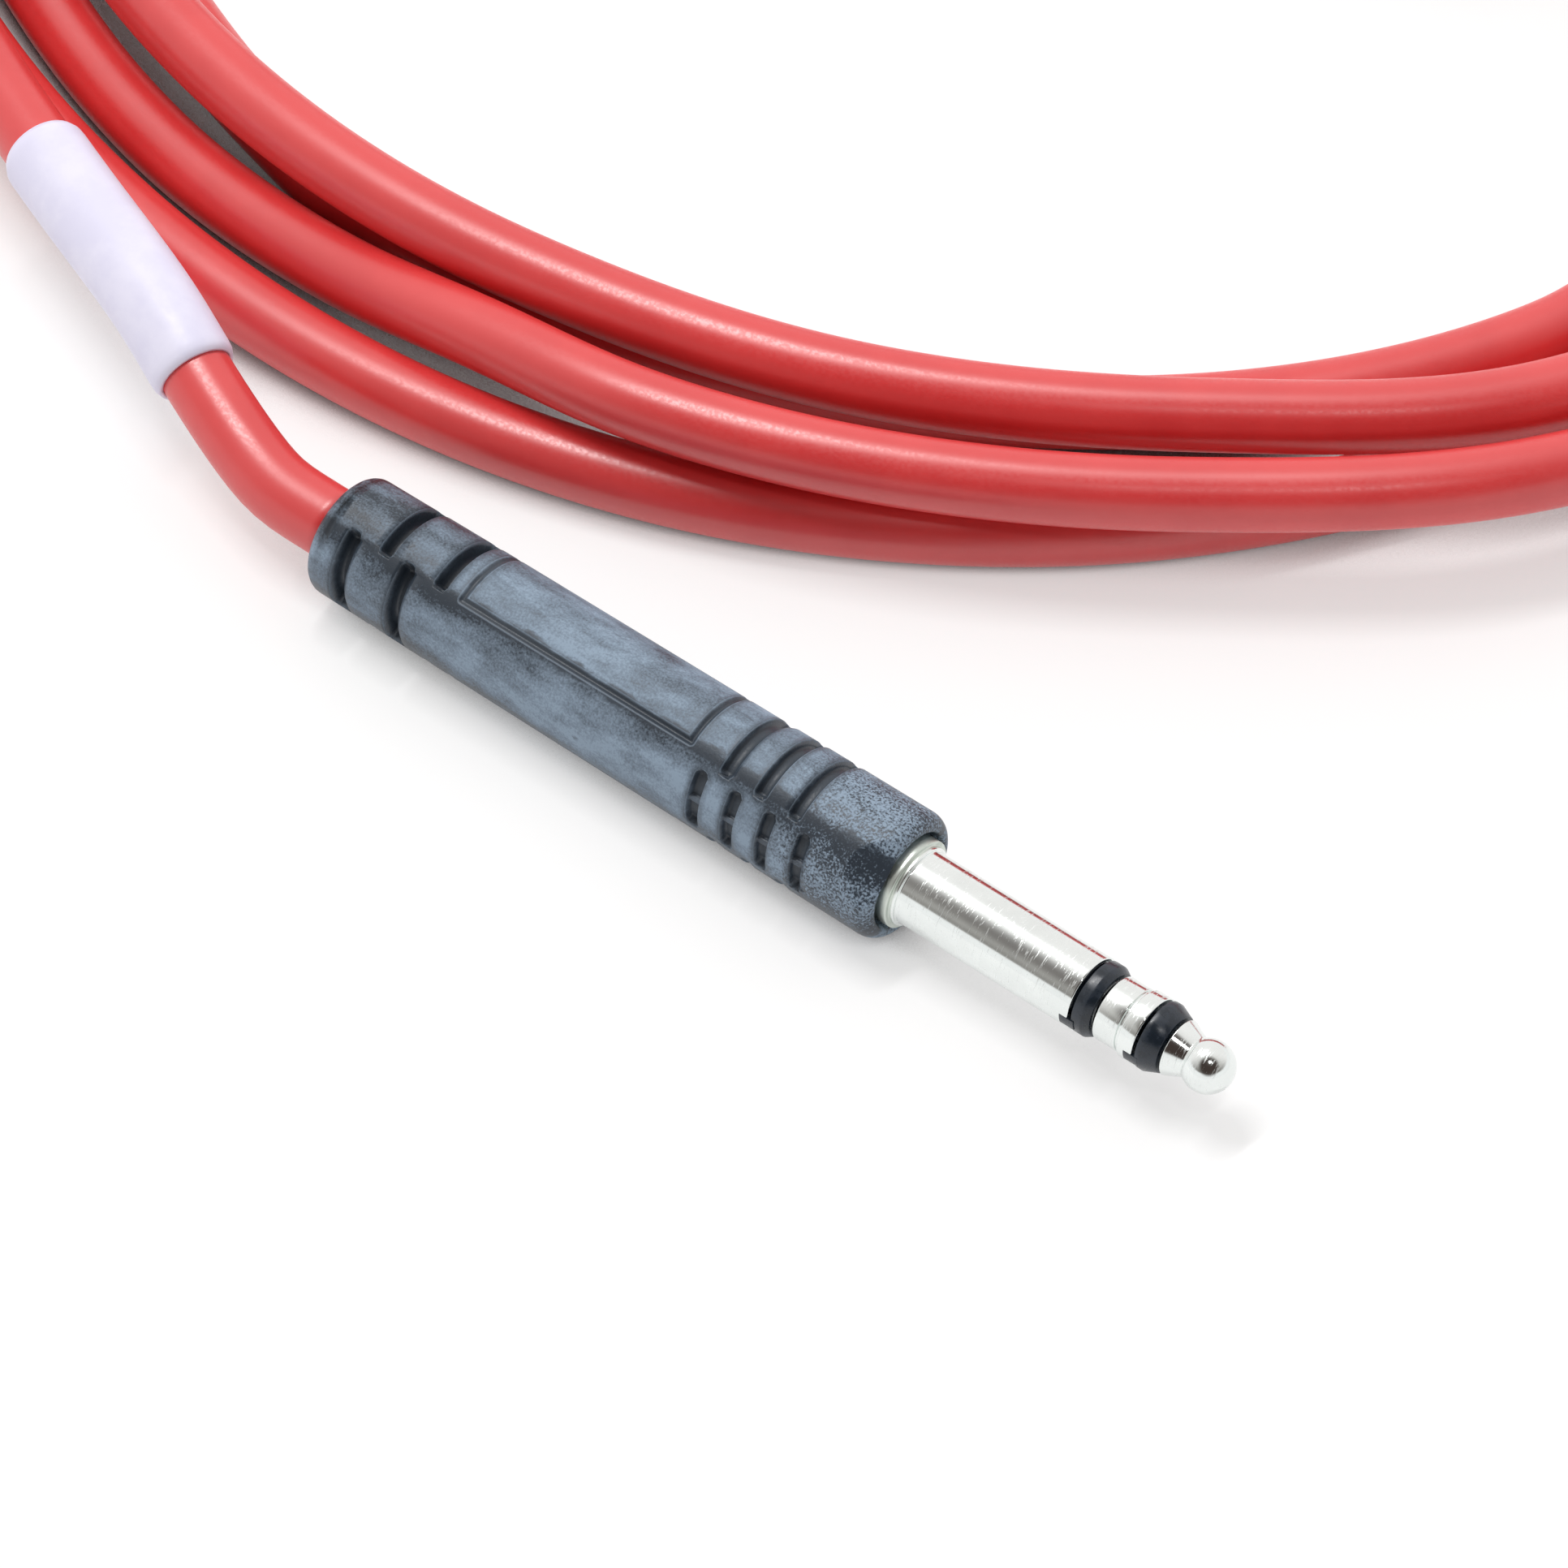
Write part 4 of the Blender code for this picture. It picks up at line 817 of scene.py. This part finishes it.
def grip_tree():
    """The moulding's slots, relief slits and window outlines, one group after another."""
    tree, wire, given, result = new_tree(
        "moulded_grip", "GeometryNodeTree", [("Geometry", "NodeSocketGeometry")],
        [("Geometry", "NodeSocketGeometry")])
    slots = slot_rows_tree()
    window = window_tree()
    floor = FRONT_RADIUS - SLOT_DEPTH
    rows = [
        (0.0, SIDE_SLOTS, SLOT_PITCH, SLOT_WIDTH, SIDE_SLOT_ANGLE, SIDE_WEB_ANGLE, floor),
        (90.0, FACE_SLOTS, SLOT_PITCH, SLOT_WIDTH, FACE_SLOT_ANGLE, -FACE_SLOT_ANGLE, floor),
        (0.0, RELIEF_SIDE, RELIEF_PITCH, RELIEF_WIDTH, RELIEF_ANGLE, -RELIEF_ANGLE,
         RELIEF_FLOOR),
        (90.0, RELIEF_FACE, RELIEF_PITCH, RELIEF_WIDTH, RELIEF_ANGLE, -RELIEF_ANGLE,
         RELIEF_FLOOR),
    ]
    geometry = given.outputs[0]
    for middle, (first, count), pitch, width, half, web, row_floor in rows:
        geometry = wire.add("GeometryNodeGroup", {
            "Geometry": geometry, "Middle Angle": math.radians(middle), "First": first * MM,
            "Pitch": pitch * MM, "Count": float(count), "Width": width * MM,
            "Half Angle": math.radians(half), "Web Angle": math.radians(web),
            "Radius": MIDDLE_RADIUS * MM, "Floor": row_floor * MM}, node_tree=slots).outputs[0]
    geometry = wire.add("GeometryNodeGroup", {
        "Geometry": geometry, "Middle Angle": math.radians(90.0), "Front": WINDOW[0] * MM,
        "Rear": WINDOW[1] * MM, "Half Angle": math.radians(WINDOW_ANGLE),
        "Width": GROOVE_WIDTH * MM, "Radius": MIDDLE_RADIUS * MM,
        "Floor": (MIDDLE_RADIUS - GROOVE_DEPTH) * MM}, node_tree=window).outputs[0]
    realized = wire.add("GeometryNodeRealizeInstances", {0: geometry})
    painted = wire.add("GeometryNodeSetMaterial", {
        "Geometry": realized.outputs[0], "Material": FINISHES["rubber"]})
    tree.links.new(painted.outputs[0], result.inputs[0])
    return tree


GRIP = grip_tree()


def moulded_handle(name, matrix, node):
    """The handle: a smooth blank with the grip pressed into it."""
    obj = bpy.data.objects.new(name, tube_mesh(name, blank_rings()))
    modifier = obj.modifiers.new("grip", "NODES")
    modifier.node_group = GRIP
    return finished(obj, matrix, "rubber", node)


def dressed_plug(prefix, place, heading, roll):
    """Every visible piece of one plug."""
    position = Vector((*place, AXIS_HEIGHT)) * MM
    turn = Euler((math.radians(roll), 0.0, math.radians(heading))).to_matrix().to_4x4()
    matrix = Matrix.Translation(position) @ turn
    tip_key = (RING_FRONT - KEY_LENGTH, TIP_BAND_REAR + KEY_DEPTH, FLANGE_RADIUS + KEY_PROUD)
    sleeve_key = (SLEEVE_LENGTH - KEY_LENGTH, BAND_REAR + KEY_DEPTH, SLEEVE_RADIUS + KEY_PROUD)
    pieces = [turned(prefix + name, profile, matrix, slot_name, prefix + node, rounding, key)
              for name, profile, slot_name, node, rounding, key in (
                  ("ball_tip", tip_profile(), "nickel", "tip_contact", METAL_ROUNDING, None),
                  ("tip_band", tip_band_profile(), "insulator", "tip_insulator", BAND_ROUNDING,
                   tip_key),
                  ("contact_ring", ring_profile(), "nickel", "ring_contact", RING_ROUNDING, None),
                  ("sleeve_band", sleeve_band_profile(), "insulator", "ring_insulator",
                   BAND_ROUNDING, sleeve_key),
                  ("sleeve_and_collar", sleeve_profile(), "nickel", "sleeve_shell",
                   METAL_ROUNDING, None))]
    pieces.append(moulded_handle(prefix + "moulded_handle", matrix, prefix + "handle"))
    return pieces


# ---- cable -----------------------------------------------------------------------------------
def eased(keys, column, along):
    """One column of the keys at each distance along the coil, eased through them."""
    places, values = keys[:, 0], keys[:, column]
    index = np.arange(len(places))
    before, after = np.maximum(index - 1, 0), np.minimum(index + 1, len(places) - 1)
    slopes = (values[after] - values[before]) / (places[after] - places[before])
    k = np.clip(np.searchsorted(places, along, side="right") - 1, 0, len(places) - 2)
    length = places[k + 1] - places[k]
    t = (along - places[k]) / length
    return ((2 * t ** 3 - 3 * t ** 2 + 1) * values[k]
            + (t ** 3 - 2 * t ** 2 + t) * length * slopes[k]
            + (3 * t ** 2 - 2 * t ** 3) * values[k + 1]
            + (t ** 3 - t ** 2) * length * slopes[k + 1])


def facing(degrees):
    return np.stack([np.cos(np.radians(degrees)), np.sin(np.radians(degrees))], axis=-1)


def coil_route():
    """The coil's turns about an oval of four arcs, a point each millimetre."""
    half = COIL_SIDE_HALF_ANGLE
    side = COIL_SIDE_RADIUS * math.radians(half)
    end = COIL_END_RADIUS * math.radians(180.0 - 2 * half)
    turn_length = 4 * side + 2 * end
    keys = np.array([(turns * turn_length + past, outside, height)
                     for turns, past, outside, height in COIL_KEYS])
    along = np.linspace(keys[0, 0], keys[-1, 0], round(keys[-1, 0] - keys[0, 0]))
    turn = np.interp(along % turn_length, np.cumsum([0.0, side, end, 2 * side, end, side]),
                     [0.0, half, 180.0 - half, 180.0 + half, 360.0 - half, 360.0])
    past_left = (turn > half) & (turn <= 180.0 + half)
    past_right = (turn > 180.0 - half) & (turn <= 360.0 - half)
    shift = COIL_SIDE_RADIUS - COIL_END_RADIUS
    centre = (np.array(COIL_CENTRE)
              + shift * past_left[:, None] * facing(COIL_NEAR_ANGLE - half)
              + shift * past_right[:, None] * facing(COIL_NEAR_ANGLE + half))
    outward = facing(COIL_NEAR_ANGLE - turn)
    radius = np.where(past_left == past_right, COIL_SIDE_RADIUS, COIL_END_RADIUS)
    radius = radius - COIL_BACK_FLAT * (1 + outward[:, 1]) / 2 + eased(keys, 1, along)
    height = np.maximum(eased(keys, 2, along), LOW)
    return np.column_stack([centre + radius[:, None] * outward, height])


def smooth_route(points, spacing):
    """Evenly spaced points on a centripetal Catmull-Rom curve through the given ones."""
    route = np.array(points, float)
    route = np.vstack([2 * route[0] - route[1], route, 2 * route[-1] - route[-2]])
    steps = np.sqrt(np.linalg.norm(np.diff(route, axis=0), axis=1))
    knots = np.concatenate([[0.0], np.cumsum(steps)])
    fine = []
    for i in range(1, len(route) - 2):
        k0, k1, k2, k3 = knots[i - 1:i + 3]
        p0, p1, p2, p3 = route[i - 1:i + 3]
        t = np.linspace(k1, k2, 24, endpoint=False)[:, None]
        a1 = ((k1 - t) * p0 + (t - k0) * p1) / (k1 - k0)
        a2 = ((k2 - t) * p1 + (t - k1) * p2) / (k2 - k1)
        a3 = ((k3 - t) * p2 + (t - k2) * p3) / (k3 - k2)
        b1 = ((k2 - t) * a1 + (t - k0) * a2) / (k2 - k0)
        b2 = ((k3 - t) * a2 + (t - k1) * a3) / (k3 - k1)
        fine.append(((k2 - t) * b1 + (t - k1) * b2) / (k2 - k1))
    fine = np.vstack([*fine, route[-2:-1]])
    return evenly(fine, spacing)


def evenly(route, spacing):
    """The same line with its points an equal distance apart."""
    along = np.concatenate([[0.0], np.cumsum(np.linalg.norm(np.diff(route, axis=0), axis=1))])
    count = max(2, round(along[-1] / spacing))
    targets = np.linspace(0.0, along[-1], count + 1)
    return np.stack([np.interp(targets, along, route[:, k]) for k in range(3)], axis=1)


def cable_route():
    """The whole cable from the shown plug to the far one, and the lead's own length."""
    coil = coil_route()
    first = coil[COIL_CHORD] - coil[0]
    first /= np.linalg.norm(first)
    last = coil[-1] - coil[-1 - COIL_CHORD]
    last /= np.linalg.norm(last)
    back = np.array([PLUG_AT[0] - HANDLE_LENGTH, PLUG_AT[1], AXIS_HEIGHT])
    lead_start = back - (STRAIGHT_END, 0.0, 0.0)
    lead = smooth_route([lead_start, *LEAD_POINTS, coil[0] - first * (FACE_GAP + STRAIGHT_END)],
                        CABLE_STEP)
    heading = math.radians(FAR_PLUG_HEADING)
    towards = np.array([math.cos(heading), math.sin(heading), 0.0])
    far_back = np.array([*FAR_PLUG_AT, AXIS_HEIGHT]) - towards * HANDLE_LENGTH
    centre = np.array([*COIL_CENTRE, 0.0])
    tail = smooth_route([coil[-1] + last * (FACE_GAP + STRAIGHT_END),
                         *[centre + point for point in TAIL_POINTS],
                         far_back - towards * STRAIGHT_END], CABLE_STEP)
    lead_length = float(np.linalg.norm(np.diff(lead, axis=0), axis=1).sum())
    route = evenly(np.vstack([back, lead, coil, tail, far_back]), CABLE_STEP)
    for _ in range(ROUTE_SMOOTHINGS):
        route[2:-2] = (route[1:-3] + 2 * route[2:-2] + route[3:-1]) / 4
    return route, lead_length


def frames_along(route):
    """Two directions across the route at each point, carried along without twist."""
    forward = np.gradient(route, axis=0)
    forward /= np.linalg.norm(forward, axis=1)[:, None]
    side = np.cross(forward[0], (0.0, 0.0, 1.0))
    sides = []
    for direction in forward:
        side = side - direction * (side @ direction)
        side /= np.linalg.norm(side)
        sides.append(side)
    sides = np.array(sides)
    return sides, np.cross(sides, forward)


def rings_along(route, radii, sides):
    """Rings of points across a route, each with its own radius."""
    across, up = frames_along(route)
    angles = np.linspace(0, 2 * math.pi, sides, endpoint=False)
    spread = (np.cos(angles)[None, :, None] * across[:, None] +
              np.sin(angles)[None, :, None] * up[:, None])
    return (route[:, None] + spread * np.reshape(radii, (-1, 1, 1))) * MM


def open_tube(name, route, radius, sides):
    """A tube along a route, its ends closed by flat faces."""
    rings = rings_along(route, np.full(len(route), radius), sides)
    mesh = tube_mesh(name, rings)
    count = len(rings)
    body = bmesh.new()
    body.from_mesh(mesh)
    body.faces.ensure_lookup_table()
    joining = body.faces[(count - 1) * sides:]
    bmesh.ops.delete(body, geom=joining, context="FACES_ONLY")
    body.verts.ensure_lookup_table()
    for start in (0, (count - 1) * sides):
        body.faces.new([body.verts[start + j] for j in range(sides)])
    bmesh.ops.recalc_face_normals(body, faces=body.faces)
    body.to_mesh(mesh)
    body.free()
    return mesh


def marker_sleeve(route, lead_length):
    """The shrink sleeve on the lead, close about the cable and rounded at both ends."""
    spacing = lead_length / round(lead_length / MARKER_SPACING)
    start = STRAIGHT_END + spacing
    stretch = route[round(start / CABLE_STEP):round((start + 2 * spacing) / CABLE_STEP) + 1]
    stretch = evenly(stretch, MARKER_STEP)
    outside = np.full(len(stretch), CABLE_RADIUS + MARKER_WALL)
    for ring, less in enumerate(MARKER_END_ROUND):
        outside[[ring, -1 - ring]] -= less
    inside = np.full(len(stretch), CABLE_RADIUS + MARKER_CLEARANCE)
    outer = rings_along(stretch, outside, MARKER_SIDES)
    inner = rings_along(stretch, inside, MARKER_SIDES)
    mesh = tube_mesh("marker", np.vstack([outer, inner[::-1]]))
    weld(mesh)
    return finished(bpy.data.objects.new("shrink_marker", mesh), Matrix(), "marker",
                    "marker_sleeve")


def dressed_cable():
    """The cable as one smooth tube, and the marker on it."""
    route, lead_length = cable_route()
    mesh = open_tube("jacket", route, CABLE_RADIUS, CABLE_SIDES)
    cable = finished(bpy.data.objects.new("red_cable", mesh), Matrix(), "jacket",
                     "cable_lead", "cable_coil", "cable_tail")
    marker = marker_sleeve(route, lead_length)
    return cable, marker, route


# ---- the object ------------------------------------------------------------------------------
CARRIED_OVER = {"crimp_ferrule": "ferrule", "jacket_end": "jacket", "tip_core": "core_red",
                "ring_core": "core_white", "drain_wire": "copper"}

dressed_plug("", PLUG_AT, 0.0, PLUG_ROLL)
far_plug = dressed_plug("far_", FAR_PLUG_AT, FAR_PLUG_HEADING, FAR_PLUG_ROLL)
cable, marker, route = dressed_cable()
for prefix in ("", "far_"):
    for node, slot_name in CARRIED_OVER.items():
        obj = frame["nodes"][prefix + node]
        obj.data.materials.clear()
        obj.data.materials.append(FINISHES[slot_name])


# ---- room, lights and camera -----------------------------------------------------------------
def table_top():
    """A plain white table top, shown as white in the open, with painted shade that makes it dark in
    narrow gaps.
    """
    mesh = bpy.data.meshes.new("floor")
    reach = 3.0
    mesh.from_pydata([(-reach, -reach, 0), (reach, -reach, 0), (reach, reach, 0),
                      (-reach, reach, 0)], [], [(0, 1, 2, 3)])
    obj = bpy.data.objects.new("floor", mesh)
    bpy.context.collection.objects.link(obj)
    material, wire, shader, _ = new_material("white_table")
    shader.inputs["Roughness"].default_value = 0.8
    shader.inputs["Emission Color"].default_value = (1.0, 1.0, 1.0, 1.0)
    light_path = wire.add("ShaderNodeLightPath").outputs
    seen = wire.math("MAXIMUM", light_path["Is Camera Ray"], light_path["Is Glossy Ray"])
    seen = wire.math("MAXIMUM", seen, light_path["Is Transmission Ray"])
    # Painted shade: near things the floor's glow fades and its seen colour turns a dark red-brown.
    open_sky = wire.add("ShaderNodeAmbientOcclusion", {"Distance": 0.02}, samples=8)
    clear = wire.ramp(open_sky.outputs["AO"], 0.06, 0.42)
    painted_gap_shade, in_open, unseen = (0.10, 0.03, 0.027), (0.45, 0.45, 0.45), (0.92, 0.92, 0.92)
    shown = mix(wire, wire.ramp(open_sky.outputs["AO"], 0.02, 0.26), painted_gap_shade, in_open)
    link(wire, mix(wire, seen, unseen, shown), shader, "Base Color")
    glow = wire.math("MULTIPLY", wire.math("MULTIPLY", seen, clear), 0.55)
    link(wire, glow, shader, "Emission Strength")
    mesh.materials.append(material)


def soft_box(name, place, size, power):
    """An area light that looks at the object."""
    light = bpy.data.lights.new(name, "AREA")
    light.shape = "RECTANGLE"
    light.size, light.size_y = size
    light.energy = power
    obj = bpy.data.objects.new(name, light)
    obj.location = place
    aim = Vector(VIEW_TARGET) * MM - Vector(place)
    obj.rotation_euler = aim.to_track_quat("-Z", "Y").to_euler()
    bpy.context.collection.objects.link(obj)


def towards_viewer():
    """Unit vector from the object to the camera."""
    azimuth, elevation = math.radians(VIEW_AZIMUTH), math.radians(VIEW_ELEVATION)
    return Vector((math.sin(azimuth) * math.cos(elevation),
                   -math.cos(azimuth) * math.cos(elevation), math.sin(elevation)))


def world():
    """A light tent: pale behind, white low down, dim above and dark about the viewer."""
    sky = bpy.data.worlds.new("studio")
    sky.use_nodes = True
    wire = Wiring(sky.node_tree)
    direction = wire.add("ShaderNodeTexCoord").outputs["Generated"]
    x, y, z = wire.add("ShaderNodeSeparateXYZ", {0: direction}).outputs
    azimuth = math.radians(VIEW_AZIMUTH)
    behind = wire.math("ADD", wire.math("MULTIPLY", x, -math.sin(azimuth)),
                       wire.math("MULTIPLY", y, math.cos(azimuth)))
    dim_low, dim_high = (0.20, 0.185, 0.17), (0.44, 0.425, 0.40)
    pale, white, dark = (0.99, 0.965, 0.955), (1.0, 1.0, 1.0), (0.055, 0.040, 0.035)
    dim = mix(wire, wire.ramp(z, 0.34, 0.66), dim_low, dim_high)
    above = mix(wire, wire.ramp(behind, -0.80, 0.40), dim, pale)
    around = mix(wire, wire.ramp(z, 0.315, 0.270), above, white)
    towards = wire.add("ShaderNodeVectorMath", {0: direction, 1: towards_viewer()},
                       operation="DOT_PRODUCT")
    around = mix(wire, wire.ramp(towards.outputs["Value"], 0.68, 0.88), around, dark)
    background = sky.node_tree.nodes["Background"]
    sky.node_tree.links.new(around, background.inputs["Color"])
    background.inputs["Strength"].default_value = 1.0
    bpy.context.scene.world = sky


def camera():
    away = towards_viewer()
    data = bpy.data.cameras.new("camera")
    data.sensor_width = 36.0
    data.lens = LENS
    data.clip_start = 0.01
    obj = bpy.data.objects.new("camera", data)
    obj.location = (Vector(VIEW_TARGET) + away * VIEW_DISTANCE) * MM
    obj.rotation_euler = (-away).to_track_quat("-Z", "Y").to_euler()
    bpy.context.collection.objects.link(obj)
    bpy.context.scene.camera = obj


table_top()
soft_box("overhead", (-0.24, 0.04, 0.68), (0.34, 0.04), 2.3)
soft_box("front", (0.26, -0.16, 0.66), (0.07, 0.07), 0.35)
world()
camera()
bpy.context.scene.view_settings.view_transform = "Standard"
